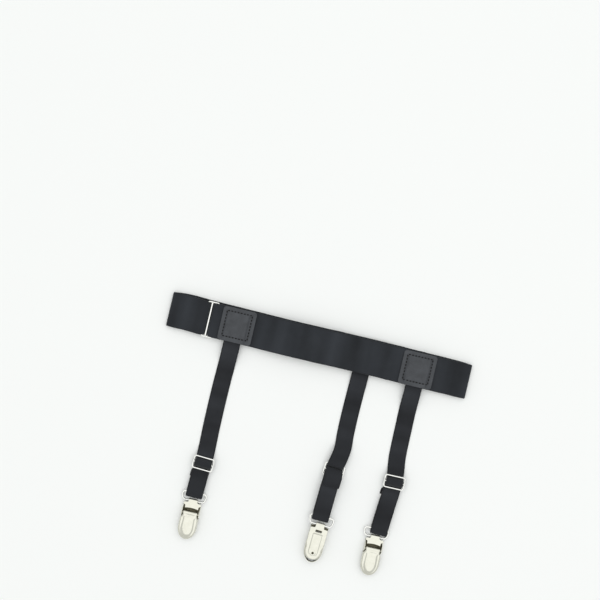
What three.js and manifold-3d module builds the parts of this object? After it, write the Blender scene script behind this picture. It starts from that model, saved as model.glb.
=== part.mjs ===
// Shirt stay: a flattened elastic thigh band with three adjustable straps, each ending in a metal clip.
// Millimetres, +Z up. The band lies along X, its straps run towards -Y, and all of it rests on the floor.

import * as THREE from "three";
import { mergeVertices } from "three/addons/utils/BufferGeometryUtils.js";
import Module from "manifold-3d";

const wasm = await Module();
wasm.setup();

// Thigh band
const bandLength = 265;
const bandWidth = 30;
const bandThick = 1.2;
const foldRadius = 1.5;
const loopRadius = 1.6;
const bandTurnDown = 14;
const bandSettle = 4;

// Layer gaps and steps of the rounding
const clear = 0.3;
const layerGap = 0.3;
const arcStep = THREE.MathUtils.degToRad(24);
const spanStep = 8;

// Slide on the thigh band
const bandSlideX = 36.2;
const bandSlideBars = 9.0;
const bandSlideMid = -1.25;
const bandSlideWire = 1.4;
const bandSlideWide = bandWidth;
const bandSlideCorner = 1.2;
const bandLoopLeft = 31.6;
const bandLoopRight = 38.3;
const bandGather = 1.1;
const bandInSlide = bandWidth - 2 * bandGather;
const loopNarrowing = 2.8;

// Straps
const strapWidth = 15;
const strapThick = 1.0;
const strapReach = 156.5;
const strapGather = 0.6;
const strapInSlide = strapWidth - strapGather;
const ringGather = 1.2;
const strapInRing = strapWidth - ringGather;
const strapTail = 8.5;
const strapRamp = 24;
const strapLead = 15;
const tailStep = 3;
const narrowingReach = 3.4;
const narrowingLong = 2.6;
const ringNarrowingLong = 4;
const middleFoldHeight = 3.9;

// Patches
const patchInset = 0.2;
const patchSize = bandWidth - 2 * patchInset;
const patchThick = 1.2;
const patchCorner = 3;
const patchSoft = 2.6;

// Strap slides and rings
const slideWire = 1.4;
const slideBars = 10.4;
const slideSlack = 0.25;
const slideWide = strapWidth + slideWire + 2 * slideSlack;
const slideCorner = 1.6;
const ringWire = 1.6;
const ringBars = 7.2;
const ringSpread = 2.8;
const ringWide = strapWidth + 2 * ringSpread;
const ringCorner = 2.2;
const ringNarrowing = 0.4;

// Clips
const clipLength = 33.2;
const clipWidth = 16;
const clipSheet = 0.8;
const plateLength = clipLength - 3.5;
const plateWidth = clipWidth - 2 * clear;
const plateTip = 6.5;
const plateTipWidth = 4.5;
const knuckleWidth = 7.6;
const flangeStart = 1.9;
const flangeEnd = 6.5;
const flangeNarrow = 12.8;
const flangeShoulder = 3.6;
const flangeTaper = 1.2;
const earStart = 6.6;
const earEnd = 13.6;
const earHeight = 6.9;
const pivotA = 10.6;
const pivotC = 4.4;
const pivotPin = 1.6;
const leverStart = 8.6;
const leverHeight = 8.0;
const leverFoot = 1.2;
const leverNeckWidth = 12.6;
const leverNeckEnd = 13.9;
const leverShoulder = 1.4;
const leverTip = 10.5;
const leverRound = 1.8;
const leverHeel = 3.0;
const padLength = 13.7;
const padEnd = clipLength - 2;
const padStart = padEnd - padLength;
const padWidth = 11.6;
const padThick = 1.5;
const padTeeth = 5;
const padRound = 0.7;
const toothPitch = 1.7;
const toothHeight = 0.9;
const toothGap = 0.1;
const firstToothShare = 0.55;
const toothShare = 0.8;
const rivetA = plateLength - 4.9;
const rivetHole = 0.8;
const slotStart = 4.6;
const slotEnd = 6.4;
const slotWidth = 5.4;

// Height of the upper layer's middle line: share of the band's length, height
const upperHeights = [
  [0.0, 3.6],
  [0.045, 3.8],
  [0.09, 4.6],
  [0.12, 5.3],
  [0.153, 5.3],
  [0.19, 4.6],
  [0.226, 4.1],
  [0.283, 4.6],
  [0.36, 7.2],
  [0.43, 8.0],
  [0.5, 7.8],
  [0.57, 6.6],
  [0.65, 5.7],
  [0.74, 5.2],
  [0.83, 4.6],
  [0.92, 4.1],
  [1.0, 3.6],
];

// Height of the lower layer's middle line over the floor, lifted over the middle patch and its strap
const lowerHeights = [
  [0.0, 0.6],
  [0.53, 0.6],
  [0.59, 3.4],
  [0.715, 3.4],
  [0.775, 0.6],
  [1.0, 0.6],
];

// Sideways wander of the upper layer, and how far the lower layer stands above it: share, mm, mm
const bandWander = [
  [0.0, 0.0, 0.5],
  [0.06, 0.0, 1.4],
  [0.13, -0.8, 1.5],
  [0.23, -0.9, 1.2],
  [0.41, -1.4, 1.0],
  [0.66, -1.4, 1.1],
  [0.83, -2.2, 1.1],
  [0.95, -2.5, 0.9],
  [1.0, -2.7, 0.4],
];

// Each strap: where it hangs, its way in plan, its slide, its ring and clip.
// Places down the strap are shares of its reach, places along the band are shares of the band's length.
const hangerShares = [
  {
    name: "left",
    outerUp: true,
    patchAt: 0.2268,
    way: [
      [-0.0831, 0.2234],
      [0.1022, 0.223],
      [0.3387, 0.2192],
      [0.5559, 0.2189],
      [0.7157, 0.2211],
      [0.784, 0.2211],
      [0.8435, 0.2181],
      [0.984, 0.2155],
      [1.278, 0.2143],
    ],
    slideDown: 0.784,
    foldFromBar: 2.8,
    ringAt: 0.217,
    barDown: 1.0,
    clipTurn: 0.4,
    tailShift: -1.0,
  },
  {
    name: "middle",
    outerUp: false,
    patchAt: 0.6525,
    way: [
      [-0.0831, 0.6521],
      [0.1022, 0.6517],
      [0.3387, 0.6491],
      [0.4601, 0.6498],
      [0.524, 0.6517],
      [0.5815, 0.6468],
      [0.6262, 0.6411],
      [0.6594, 0.6392],
      [0.7029, 0.6377],
      [0.7732, 0.6351],
      [0.9457, 0.6313],
      [1.278, 0.6272],
    ],
    slideDown: 0.6594,
    foldFromBar: 2.8,
    ringAt: 0.6362,
    barDown: 0.9636,
    clipTurn: -2.6,
    tailShift: 1.0,
  },
  {
    name: "right",
    outerUp: true,
    patchAt: 0.8283,
    way: [
      [-0.0831, 0.8283],
      [0.115, 0.8279],
      [0.3387, 0.8291],
      [0.5048, 0.8309],
      [0.5815, 0.8358],
      [0.6447, 0.8385],
      [0.7029, 0.8366],
      [0.7732, 0.8328],
      [0.9521, 0.826],
      [1.278, 0.8189],
    ],
    slideDown: 0.6447,
    foldFromBar: 2.3,
    ringAt: 0.8196,
    barDown: 0.9642,
    clipTurn: 0.8,
    tailShift: -1.6,
  },
];

const hangers = hangerShares.map((shares) => ({
  ...shares,
  way: shares.way.map(([down, along]) => [-down * strapReach, along * bandLength]),
  patchX: shares.patchAt * bandLength,
  ringX: shares.ringAt * bandLength,
  slideY: -shares.slideDown * strapReach,
  barY: -shares.barDown * strapReach,
  foldY: -shares.barDown * strapReach + shares.foldFromBar,
}));

const finishes = {
  elastic: { color: 0x2b2e31, roughness: 0.85, metalness: 0 },
  leather: { color: 0x4a4c50, roughness: 0.5, metalness: 0 },
  nickel: { color: 0xd9d7c8, roughness: 0.22, metalness: 1 },
  clear: { color: 0xdfe3e0, roughness: 0.3, metalness: 0 },
};

const part = new THREE.Group();
part.name = "shirt_stay";

// Curves and solids used by every piece

function smoothStep(t) {
  const k = THREE.MathUtils.clamp(t, 0, 1);
  return k * k * (3 - 2 * k);
}

// Smooth curve through the rows of a table at a place along its first column
function curveAt(rows, at, column = 1) {
  const last = rows.length - 1;
  const rising = rows[last][0] > rows[0][0] ? 1 : -1;
  let i = 0;
  while (i < last - 1 && (at - rows[i + 1][0]) * rising > 0) i++;
  const slope = (k) => {
    const a = rows[Math.max(k - 1, 0)];
    const b = rows[Math.min(k + 1, last)];
    return (b[column] - a[column]) / (b[0] - a[0]);
  };
  const span = rows[i + 1][0] - rows[i][0];
  const t = THREE.MathUtils.clamp((at - rows[i][0]) / span, 0, 1);
  const t2 = t * t;
  const t3 = t2 * t;
  return (
    (2 * t3 - 3 * t2 + 1) * rows[i][column] +
    (t3 - 2 * t2 + t) * span * slope(i) +
    (3 * t2 - 2 * t3) * rows[i + 1][column] +
    (t3 - t2) * span * slope(i + 1)
  );
}

// Path of a belt over wheels [s, n, radius, share]: radius above 0 turns left, below 0 turns right
function beltPath(wheels) {
  const ways = [];
  for (let i = 0; i < wheels.length - 1; i++) {
    const [s1, n1, r1] = wheels[i];
    const [s2, n2, r2] = wheels[i + 1];
    const apart = Math.hypot(s2 - s1, n2 - n1);
    const heading = Math.atan2(n2 - n1, s2 - s1);
    ways.push(heading - Math.asin((r2 - r1) / apart));
  }
  const points = [];
  wheels.forEach(([s, n, r, mark], i) => {
    const into = ways[Math.max(i - 1, 0)];
    const out = ways[Math.min(i, ways.length - 1)];
    const bend = Math.atan2(Math.sin(out - into), Math.cos(out - into));
    let turn = 0;
    if (r !== 0) {
      turn = (out - into) * Math.sign(r);
      turn -= 2 * Math.PI * Math.floor(turn / (2 * Math.PI));
      if (turn > 1.9 * Math.PI) turn = 0;
      turn *= Math.sign(r);
    }
    const steps = Math.max(1, Math.ceil(Math.abs(turn) / arcStep));
    for (let k = 0; k <= (turn === 0 ? 0 : steps); k++) {
      const way = turn === 0 ? into + bend / 2 : into + (turn * k) / steps;
      points.push({ s: s + r * Math.sin(way), n: n - r * Math.cos(way), way, mark });
    }
  });
  return points;
}

// Cuts the long straight runs of a path so that it can follow a curve in plan, finer near one place
function divided(points, fineAt, fineReach) {
  const out = [];
  points.forEach((p, i) => {
    out.push(p);
    const q = points[i + 1];
    if (!q) return;
    const long = Math.hypot(q.s - p.s, q.n - p.n);
    const near = Math.min(Math.abs(p.s - fineAt), Math.abs(q.s - fineAt)) < fineReach;
    const cuts = Math.ceil(long / (near ? spanStep / 4 : spanStep));
    const straight = Math.atan2(q.n - p.n, q.s - p.s);
    for (let k = 1; k < cuts; k++) {
      const t = k / cuts;
      out.push({
        s: THREE.MathUtils.lerp(p.s, q.s, t),
        n: THREE.MathUtils.lerp(p.n, q.n, t),
        way: straight,
        mark: THREE.MathUtils.lerp(p.mark ?? 0, q.mark ?? 0, t),
      });
    }
  });
  return out;
}

// Closed solid from rings of points joined one after the other
function sweptSolid(rings, closed) {
  const count = rings[0].length;
  const positions = rings.flat().flatMap((p) => [p.x, p.y, p.z]);
  const index = [];
  const joins = closed ? rings.length : rings.length - 1;
  for (let i = 0; i < joins; i++) {
    const a = i * count;
    const b = ((i + 1) % rings.length) * count;
    for (let k = 0; k < count; k++) {
      const m = (k + 1) % count;
      index.push(a + k, b + k, b + m, a + k, b + m, a + m);
    }
  }
  if (!closed) {
    const end = (rings.length - 1) * count;
    for (let k = 1; k < count - 1; k++) {
      index.push(0, k, k + 1);
      index.push(end, end + k + 1, end + k);
    }
  }
  const geometry = new THREE.BufferGeometry();
  geometry.setAttribute("position", new THREE.Float32BufferAttribute(positions, 3));
  geometry.setIndex(index);
  return facingOut(geometry);
}

// Turns the faces round where the solid is inside out
function facingOut(geometry) {
  const at = geometry.getAttribute("position");
  const index = geometry.getIndex().array;
  const [a, b, c] = [new THREE.Vector3(), new THREE.Vector3(), new THREE.Vector3()];
  let volume = 0;
  for (let i = 0; i < index.length; i += 3) {
    a.fromBufferAttribute(at, index[i]);
    b.fromBufferAttribute(at, index[i + 1]);
    c.fromBufferAttribute(at, index[i + 2]);
    volume += a.dot(b.cross(c));
  }
  if (volume < 0) {
    for (let i = 0; i < index.length; i += 3) {
      [index[i + 1], index[i + 2]] = [index[i + 2], index[i + 1]];
    }
  }
  return geometry;
}

function solidFrom(geometry) {
  const bare = geometry.clone();
  bare.deleteAttribute("normal");
  bare.deleteAttribute("uv");
  const merged = mergeVertices(bare, 1e-4);
  return new wasm.Manifold(
    new wasm.Mesh({
      numProp: 3,
      vertProperties: new Float32Array(merged.getAttribute("position").array),
      triVerts: new Uint32Array(merged.getIndex().array),
    }),
  );
}

function geometryFrom(solid) {
  const mesh = solid.getMesh();
  const geometry = new THREE.BufferGeometry();
  geometry.setAttribute("position", new THREE.BufferAttribute(mesh.vertProperties, 3));
  geometry.setIndex(new THREE.BufferAttribute(mesh.triVerts, 1));
  return geometry;
}

function joined(first, ...others) {
  return geometryFrom(others.reduce((whole, g) => whole.add(solidFrom(g)), solidFrom(first)));
}

function cutBy(first, ...others) {
  return geometryFrom(others.reduce((whole, g) => whole.subtract(solidFrom(g)), solidFrom(first)));
}

function addPiece(name, geometry, finish) {
  const material = new THREE.MeshStandardMaterial(finishes[finish]);
  const mesh = new THREE.Mesh(geometry, material);
  mesh.name = name;
  part.add(mesh);
}

function boxBetween(low, high) {
  const box = new THREE.BoxGeometry(high[0] - low[0], high[1] - low[1], high[2] - low[2]);
  return box.translate((low[0] + high[0]) / 2, (low[1] + high[1]) / 2, (low[2] + high[2]) / 2);
}

// Straight rod along Y between two places
function rodAcross(x, z, fromY, toY, radius, sides = 10) {
  const rod = new THREE.CylinderGeometry(radius, radius, Math.abs(toY - fromY), sides);
  return rod.translate(x, (fromY + toY) / 2, z);
}

// Closed wire frame in plan round (0, 0): bars across at +-half the spacing, corners rounded
function wireFrame(barSpacing, betweenSides, corner, wire, narrowing = 0) {
  const halfBar = barSpacing / 2;
  const halfSide = betweenSides / 2;
  const centres = [
    [halfSide - corner, halfBar - corner],
    [-halfSide + corner, halfBar - corner],
    [-halfSide + corner + narrowing, -halfBar + corner],
    [halfSide - corner - narrowing, -halfBar + corner],
  ];
  const path = [];
  const cornerSteps = 3;
  centres.forEach(([cx, cy], quarter) => {
    for (let k = 0; k <= cornerSteps; k++) {
      const angle = (quarter + k / cornerSteps) * (Math.PI / 2);
      path.push(new THREE.Vector3(cx + corner * Math.cos(angle), cy + corner * Math.sin(angle), 0));
    }
  });
  const sides = 8;
  const rings = path.map((p, i) => {
    const before = path[(i + path.length - 1) % path.length];
    const after = path[(i + 1) % path.length];
    const along = after.clone().sub(before).normalize();
    const outward = new THREE.Vector3(along.y, -along.x, 0);
    return Array.from({ length: sides }, (unused, k) => {
      const angle = (k / sides) * 2 * Math.PI;
      const ring = p.clone().addScaledVector(outward, (wire / 2) * Math.cos(angle));
      ring.z += (wire / 2) * Math.sin(angle);
      return ring;
    });
  });
  return sweptSolid(rings, true);
}

// Thigh band

const upperAt = (x) => curveAt(upperHeights, x / bandLength);
const wanderAt = (x) => curveAt(bandWander, x / bandLength);
const liftAt = (x) => curveAt(bandWander, x / bandLength, 2);

function lowerAt(x) {
  const share = x / bandLength;
  let i = 0;
  while (i < lowerHeights.length - 2 && share > lowerHeights[i + 1][0]) i++;
  const [from, low] = lowerHeights[i];
  const [to, high] = lowerHeights[i + 1];
  return THREE.MathUtils.lerp(low, high, smoothStep((share - from) / (to - from)));
}

const bandSlideZ = bandThick + clear + bandThick / 2 + loopRadius;

// Points of one layer between two places, with 0 for the upper layer and 1 for the lower
function layerPoints(from, to, heightAt, layer) {
  const steps = Math.ceil(Math.abs(to - from) / spanStep);
  return Array.from({ length: steps + 1 }, (unused, k) => {
    const x = THREE.MathUtils.lerp(from, to, k / steps);
    return [x, heightAt(x), 0, layer];
  });
}

// How far the band is gathered beside the slide's middle bar, from 0 to 1
function nearLoop(x) {
  const onLeft = smoothStep((x - bandLoopLeft - loopRadius) / loopNarrowing + 1);
  const onRight = smoothStep((bandLoopRight - loopRadius - x) / loopNarrowing + 1);
  return x < bandSlideX ? onLeft : onRight;
}

function makeThighBand() {
  const foldIn = foldRadius + bandThick / 2;
  const foldZ = bandThick / 2 + foldRadius;
  const turnZ = bandThick + clear + bandThick / 2;
  const wheels = [
    [bandLoopRight + bandTurnDown, turnZ, 0, 0],
    [bandLoopRight, bandSlideZ, -loopRadius, 0],
    ...layerPoints(bandLoopRight + bandSettle, bandLength - foldIn - bandSettle, upperAt, 0),
    [bandLength - foldIn, foldZ, -foldRadius, 0.5],
    ...layerPoints(bandLength - foldIn - bandSettle, foldIn + bandSettle, lowerAt, 1),
    [foldIn, foldZ, -foldRadius, 0.5],
    ...layerPoints(foldIn + bandSettle, bandLoopLeft - bandSettle, upperAt, 0),
    [bandLoopLeft, bandSlideZ, -loopRadius, 0],
    [bandLoopLeft - bandTurnDown, turnZ, 0, 0],
  ];
  const rings = beltPath(wheels).map((p) => {
    const across = new THREE.Vector3(0, 1, 0);
    const through = new THREE.Vector3(-Math.sin(p.way), 0, Math.cos(p.way));
    const middle = new THREE.Vector3(p.s, wanderAt(p.s) + liftAt(p.s) * p.mark, p.n);
    const width = THREE.MathUtils.lerp(bandWidth, bandInSlide, p.mark ? 0 : nearLoop(p.s));
    return ribbonRing(middle, across, through, width, bandThick);
  });
  addPiece("thigh_band", sweptSolid(rings, false), "elastic");
}

// The four corners of a flat strip at one place
function ribbonRing(middle, across, through, width, thick) {
  return [
    [1, 1],
    [-1, 1],
    [-1, -1],
    [1, -1],
  ].map(([w, t]) =>
    middle
      .clone()
      .addScaledVector(across, (w * width) / 2)
      .addScaledVector(through, (t * thick) / 2),
  );
}

function makeBandSlide() {
  const frame = wireFrame(bandSlideBars, bandSlideWide, bandSlideCorner, bandSlideWire);
  frame.rotateZ(-Math.PI / 2);
  const half = bandSlideWide / 2;
  const bar = rodAcross(bandSlideMid, 0, -half, half, bandSlideWire / 2, 8);
  const slide = joined(frame, bar);
  slide.translate(bandSlideX, wanderAt(bandSlideX), bandSlideZ);
  addPiece("band_slide", slide, "nickel");
}

// Leather patches

// Height of the outer face of the band at x, for the layer that a strap hangs from
function faceAt(hanger, x) {
  return hanger.outerUp ? upperAt(x) + bandThick / 2 : lowerAt(x) - bandThick / 2;
}

// Height of the face of the strap that lies against the band
function seatOf(hanger) {
  const reach = [-0.6, -0.3, 0, 0.3, 0.6];
  const faces = reach.map((share) => faceAt(hanger, wayAt(hanger, 0) + share * strapWidth));
  return hanger.outerUp ? Math.max(...faces) + clear : Math.min(...faces) - clear;
}

// How much of the strap's bulge the patch shows, from 0 on bare band to 1 over the strap
function overStrap(hanger, x, dy) {
  const fromEdge = Math.abs(x - wayAt(hanger, dy)) - strapWidth / 2;
  const besideStrap = smoothStep((1 + patchSoft - fromEdge) / patchSoft);
  const fromEnd = dy - (patchSize / 2 - 2 * patchSoft);
  const belowEnd = smoothStep((1 + patchSoft - fromEnd) / patchSoft);
  return besideStrap * belowEnd;
}

function makePatch(hanger) {
  const cells = 12;
  const half = patchSize / 2;
  const inner = half - patchCorner;
  const centreY = hanger.outerUp
    ? wanderAt(hanger.patchX)
    : wanderAt(hanger.patchX) + liftAt(hanger.patchX);
  const corners = [];
  for (const outside of [0, 1]) {
    for (let i = 0; i <= cells; i++) {
      for (let j = 0; j <= cells; j++) {
        let dx = ((2 * i) / cells - 1) * half;
        let dy = ((2 * j) / cells - 1) * half;
        const past = [Math.abs(dx) - inner, Math.abs(dy) - inner];
        if (past[0] > 0 && past[1] > 0) {
          const pull = Math.max(...past) / Math.hypot(...past);
          dx = Math.sign(dx) * (inner + past[0] * pull);
          dy = Math.sign(dy) * (inner + past[1] * pull);
        }
        const x = hanger.patchX + dx;
        const out = hanger.outerUp ? 1 : -1;
        const onBand = faceAt(hanger, x) + out * clear;
        const onStrap = seatOf(hanger) + out * (strapThick + clear);
        const inside = THREE.MathUtils.lerp(onBand, onStrap, overStrap(hanger, x, dy));
        corners.push(new THREE.Vector3(x, centreY + dy, inside + out * outside * patchThick));
      }
    }
  }
  addPiece("patch_" + hanger.name, plateSolid(corners, cells), "leather");
}

// Closed plate from two square grids of points, one behind the other
function plateSolid(corners, cells) {
  const row = cells + 1;
  const layer = row * row;
  const index = [];
  const quad = (a, b, c, d) => index.push(a, b, c, a, c, d);
  for (let i = 0; i < cells; i++) {
    for (let j = 0; j < cells; j++) {
      const a = i * row + j;
      quad(a, a + 1, a + row + 1, a + row);
      quad(layer + a, layer + a + row, layer + a + row + 1, layer + a + 1);
    }
  }
  for (let k = 0; k < cells; k++) {
    const near = k * row;
    const far = k * row + cells;
    const end = cells * row;
    quad(k, layer + k, layer + k + 1, k + 1);
    quad(end + k, end + k + 1, layer + end + k + 1, layer + end + k);
    quad(near, near + row, layer + near + row, layer + near);
    quad(far, layer + far, layer + far + row, far + row);
  }
  const geometry = new THREE.BufferGeometry();
  const positions = corners.flatMap((p) => [p.x, p.y, p.z]);
  geometry.setAttribute("position", new THREE.Float32BufferAttribute(positions, 3));
  geometry.setIndex(index);
  return facingOut(geometry);
}

// Straps

const strapTurn = slideWire / 2 + layerGap + strapThick / 2;
const strapLayer = strapThick + layerGap;
const slideRise = strapThick / 2 + 2 * strapLayer + strapTurn;
const foldTurn = ringWire / 2 + 1.3 * clear + strapThick / 2;
const slideOuter = slideRise + strapTurn + strapLayer + strapThick / 2;

// Height of the strap's own zero over the floor at a place along y
function strapBase(hanger, y) {
  const edge = wanderAt(hanger.patchX) - bandWidth / 2 - clear;
  const offBand = smoothStep((edge - y) / strapRamp);
  if (hanger.outerUp) return THREE.MathUtils.lerp(seatOf(hanger), 0, offBand);
  const lying = THREE.MathUtils.lerp(seatOf(hanger), strapThick, offBand);
  const toSlide = smoothStep((hanger.slideY + strapRamp + slideBars / 2 - y) / strapRamp);
  const atSlide = THREE.MathUtils.lerp(lying, slideOuter, toSlide);
  const toFold = smoothStep((hanger.slideY - slideBars - y) / strapRamp);
  return THREE.MathUtils.lerp(atSlide, middleFoldHeight + foldTurn + strapThick / 2, toFold);
}

function wayAt(hanger, y) {
  return curveAt(hanger.way, y);
}

// Place, sideways direction and outward direction of the strap at y
function strapPoint(hanger, y, n) {
  const side = hanger.outerUp ? 1 : -1;
  return new THREE.Vector3(wayAt(hanger, y), y, strapBase(hanger, y) + side * n);
}

// Direction in plan of the strap at y, towards its clip, taken over a length of it
function strapWay(hanger, y, over) {
  const dx = wayAt(hanger, y - over / 2) - wayAt(hanger, y + over / 2);
  return new THREE.Vector3(dx, -over, 0).normalize();
}

function makeStrap(hanger) {
  const half = strapThick / 2;
  const bar = slideBars / 2;
  const slideS = -hanger.slideY;
  const foldS = -hanger.foldY - foldTurn - half;
  const startS = -(wanderAt(hanger.patchX) + patchSize / 2 - 2 * patchSoft);
  const upperRun = half + 2 * foldTurn;
  const wheels = [
    [startS, half, 0, 0],
    [slideS - strapLead, half, 0, 0],
    [slideS - bar, slideRise, strapTurn, 0],
    [slideS, slideRise, -strapTurn - strapLayer, 0],
    [slideS + bar, slideRise, strapTurn, 0],
    [slideS + strapTail + bar, upperRun, 0, 0],
    [foldS, half + foldTurn, -foldTurn, 0],
    [slideS + strapTail + bar + tailStep, half, 0, 0],
    [slideS + strapTail + bar, half + strapLayer, 0, 0],
    [slideS + bar, slideRise, -strapTurn - strapLayer, 0],
    [slideS, slideRise, strapTurn, 0],
    [slideS + bar, slideRise, strapTurn + 2 * strapLayer, 1],
    [slideS + strapTail + bar, half, 0, 1],
  ];
  const side = hanger.outerUp ? 1 : -1;
  const rings = divided(beltPath(wheels), slideS, slideBars).map((p) => {
    const y = -p.s;
    const fromBar = Math.abs(p.s - slideS) - bar;
    const nearSlide = smoothStep((spanStep / 2 - fromBar) / narrowingLong);
    const along = strapWay(hanger, y, strapThick);
    along.lerp(strapWay(hanger, hanger.slideY, slideBars), nearSlide).normalize();
    const across = new THREE.Vector3(-along.y, along.x, 0);
    const through = along.clone().multiplyScalar(-Math.sin(p.way));
    through.z = side * Math.cos(p.way);
    const inSlide = smoothStep((narrowingReach - fromBar) / narrowingLong);
    const inRing = smoothStep((p.s - foldS + ringNarrowingLong) / ringNarrowingLong);
    const narrowed = THREE.MathUtils.lerp(strapWidth, strapInSlide, inSlide);
    const width = THREE.MathUtils.lerp(narrowed, strapInRing, inRing);
    const middle = strapPoint(hanger, y, p.n);
    middle.x += hanger.tailShift * p.mark * (1 - inSlide);
    return ribbonRing(middle, across, through, width, strapThick);
  });
  addPiece("strap_" + hanger.name, sweptSolid(rings, false), "elastic");
}

function makeSlide(hanger) {
  const frame = wireFrame(slideBars, slideWide, slideCorner, slideWire);
  const bar = new THREE.CylinderGeometry(slideWire / 2, slideWire / 2, slideWide, 8);
  bar.rotateZ(Math.PI / 2);
  const slide = joined(frame, bar);
  const place = strapPoint(hanger, hanger.slideY, slideRise);
  const way = strapWay(hanger, hanger.slideY, slideBars);
  slide.rotateZ(Math.atan2(way.x, -way.y));
  slide.translate(place.x, place.y, place.z);
  addPiece("slide_" + hanger.name, slide, "nickel");
}

// Clips: a runs from the ring's bar to the tip, b across, c from the plate's back to the lever

const barC = clipSheet + clear + ringWire / 2;

function clipBarHeight(hanger) {
  return hanger.outerUp ? barC : leverHeight - barC;
}

function makeRing(hanger) {
  const ring = wireFrame(ringBars, ringWide, ringCorner, ringWire, ringNarrowing);
  const nearZ = clipBarHeight(hanger);
  const farY = hanger.barY + ringBars;
  const farZ = hanger.outerUp
    ? strapThick + foldTurn - strapThick / 2
    : strapBase(hanger, farY) - strapThick / 2 - foldTurn;
  const tilt = Math.atan2(farZ - nearZ, ringBars);
  ring.translate(0, ringBars / 2, 0);
  ring.rotateX(tilt);
  ring.rotateZ(THREE.MathUtils.degToRad(hanger.clipTurn));
  ring.translate(hanger.ringX, hanger.barY, nearZ);
  addPiece("ring_" + hanger.name, ring, "nickel");
}

// Moves clip geometry from (a, b, c) to its place on the ring's bar
function placeClip(geometry, hanger) {
  const flip = hanger.outerUp ? 1 : -1;
  const turn = THREE.MathUtils.degToRad(hanger.clipTurn);
  const place = new THREE.Matrix4().makeRotationZ(-Math.PI / 2 + turn);
  place.setPosition(hanger.ringX, hanger.barY, clipBarHeight(hanger));
  const own = new THREE.Matrix4();
  if (flip < 0) own.makeRotationX(Math.PI);
  const down = new THREE.Matrix4().makeTranslation(0, 0, -barC);
  geometry.applyMatrix4(down).applyMatrix4(own).applyMatrix4(place);
  return geometry;
}

// Half width of a rounded tip: share of the way from where it starts to its end
function tipShare(a, start, end) {
  const t = THREE.MathUtils.clamp((a - start) / (end - start), 0, 1);
  return Math.sqrt(Math.max(1 - t * t, 0));
}

function plateWidthAt(a, onFlange) {
  if (a < flangeStart - clear) return knuckleWidth;
  if (onFlange) {
    const narrowing = smoothStep((a - flangeShoulder) / flangeTaper);
    return THREE.MathUtils.lerp(plateWidth, flangeNarrow, narrowing);
  }
  return Math.max(plateWidth * tipShare(a, plateLength - plateTip, plateLength), plateTipWidth);
}

function makeClipPlate(hanger) {
  const middleC = clipSheet / 2;
  const turn = barC - middleC;
  const taperSteps = 3;
  const flangeStops = [flangeEnd];
  for (let k = taperSteps; k >= 0; k--) {
    flangeStops.push(flangeShoulder + (k / taperSteps) * flangeTaper);
  }
  flangeStops.push(flangeStart, flangeStart - layerGap - clear);
  const backStops = [flangeStart - layerGap - clear, flangeStart, plateLength - plateTip];
  const tipSteps = 6;
  for (let k = 1; k <= tipSteps; k++) {
    const share = Math.sin(((k / tipSteps) * Math.PI) / 2);
    backStops.push(plateLength - plateTip + plateTip * share);
  }
  const wheels = [
    ...flangeStops.map((a) => [a, barC + turn, 0, 1]),
    [0, barC, turn, 1],
    ...backStops.map((a) => [a, middleC, 0, 0]),
  ];
  const rings = beltPath(wheels).map((p) => {
    const across = new THREE.Vector3(0, 1, 0);
    const through = new THREE.Vector3(-Math.sin(p.way), 0, Math.cos(p.way));
    const middle = new THREE.Vector3(p.s, 0, p.n);
    return ribbonRing(middle, across, through, plateWidthAt(p.s, p.mark > 0), clipSheet);
  });
  const sheet = sweptSolid(rings, false);
  const ears = [-1, 1].map((sideOf) => {
    const top = earHeight - (earEnd - earStart) / 2;
    const outline = new THREE.Shape();
    outline.moveTo(earStart, clipSheet / 4);
    outline.lineTo(earEnd, clipSheet / 4);
    outline.lineTo(earEnd, top);
    outline.absarc((earStart + earEnd) / 2, top, (earEnd - earStart) / 2, 0, Math.PI, false);
    const hole = new THREE.Path();
    hole.absarc(pivotA, pivotC, pivotPin / 2 + clear, 0, 2 * Math.PI, true);
    outline.holes.push(hole);
    const ear = new THREE.ExtrudeGeometry(outline, {
      depth: clipSheet,
      bevelEnabled: false,
      curveSegments: 8,
    });
    ear.rotateX(Math.PI / 2);
    const edge = plateWidth / 2;
    return ear.translate(0, sideOf > 0 ? edge : -edge + clipSheet, 0);
  });
  const through = 1.5 * clipSheet;
  const slot = boxBetween([slotStart, -slotWidth / 2, -through], [slotEnd, slotWidth / 2, through]);
  const rivet = new THREE.CylinderGeometry(rivetHole, rivetHole, 4 * clipSheet, 12);
  rivet.rotateX(Math.PI / 2).translate(rivetA, 0, 0);
  const plate = cutBy(joined(sheet, ...ears), slot, rivet);
  addPiece("clip_plate_" + hanger.name, placeClip(plate, hanger), "nickel");
}

// Toothed insert that grips the cloth against the lever's rim
function makeClipPad(hanger) {
  const base = clipSheet + clear;
  const outline = new THREE.Shape();
  const half = padWidth / 2;
  const round = half * padRound;
  outline.moveTo(padStart, -half);
  outline.lineTo(padEnd - round, -half);
  outline.absellipse(padEnd - round, 0, round, half, -Math.PI / 2, Math.PI / 2, false, 0);
  outline.lineTo(padStart, half);
  outline.closePath();
  const body = new THREE.ExtrudeGeometry(outline, {
    depth: padThick,
    bevelEnabled: false,
    curveSegments: 6,
  });
  body.translate(0, 0, base);
  const teeth = [];
  const foot = base + padThick - layerGap;
  for (let k = 0; k < padTeeth; k++) {
    const tooth = new THREE.Shape();
    const a = padEnd - (k + 1) * toothPitch;
    tooth.moveTo(a - toothPitch / 2 + toothGap, foot);
    tooth.lineTo(a + toothPitch / 2 - toothGap, foot);
    tooth.lineTo(a, base + padThick + toothHeight);
    tooth.closePath();
    const reach = half * (k === 0 ? firstToothShare : toothShare);
    const ridge = new THREE.ExtrudeGeometry(tooth, { depth: 2 * reach, bevelEnabled: false });
    teeth.push(ridge.rotateX(Math.PI / 2).translate(0, reach, 0));
  }
  addPiece("clip_pad_" + hanger.name, placeClip(joined(body, ...teeth), hanger), "clear");
}

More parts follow.
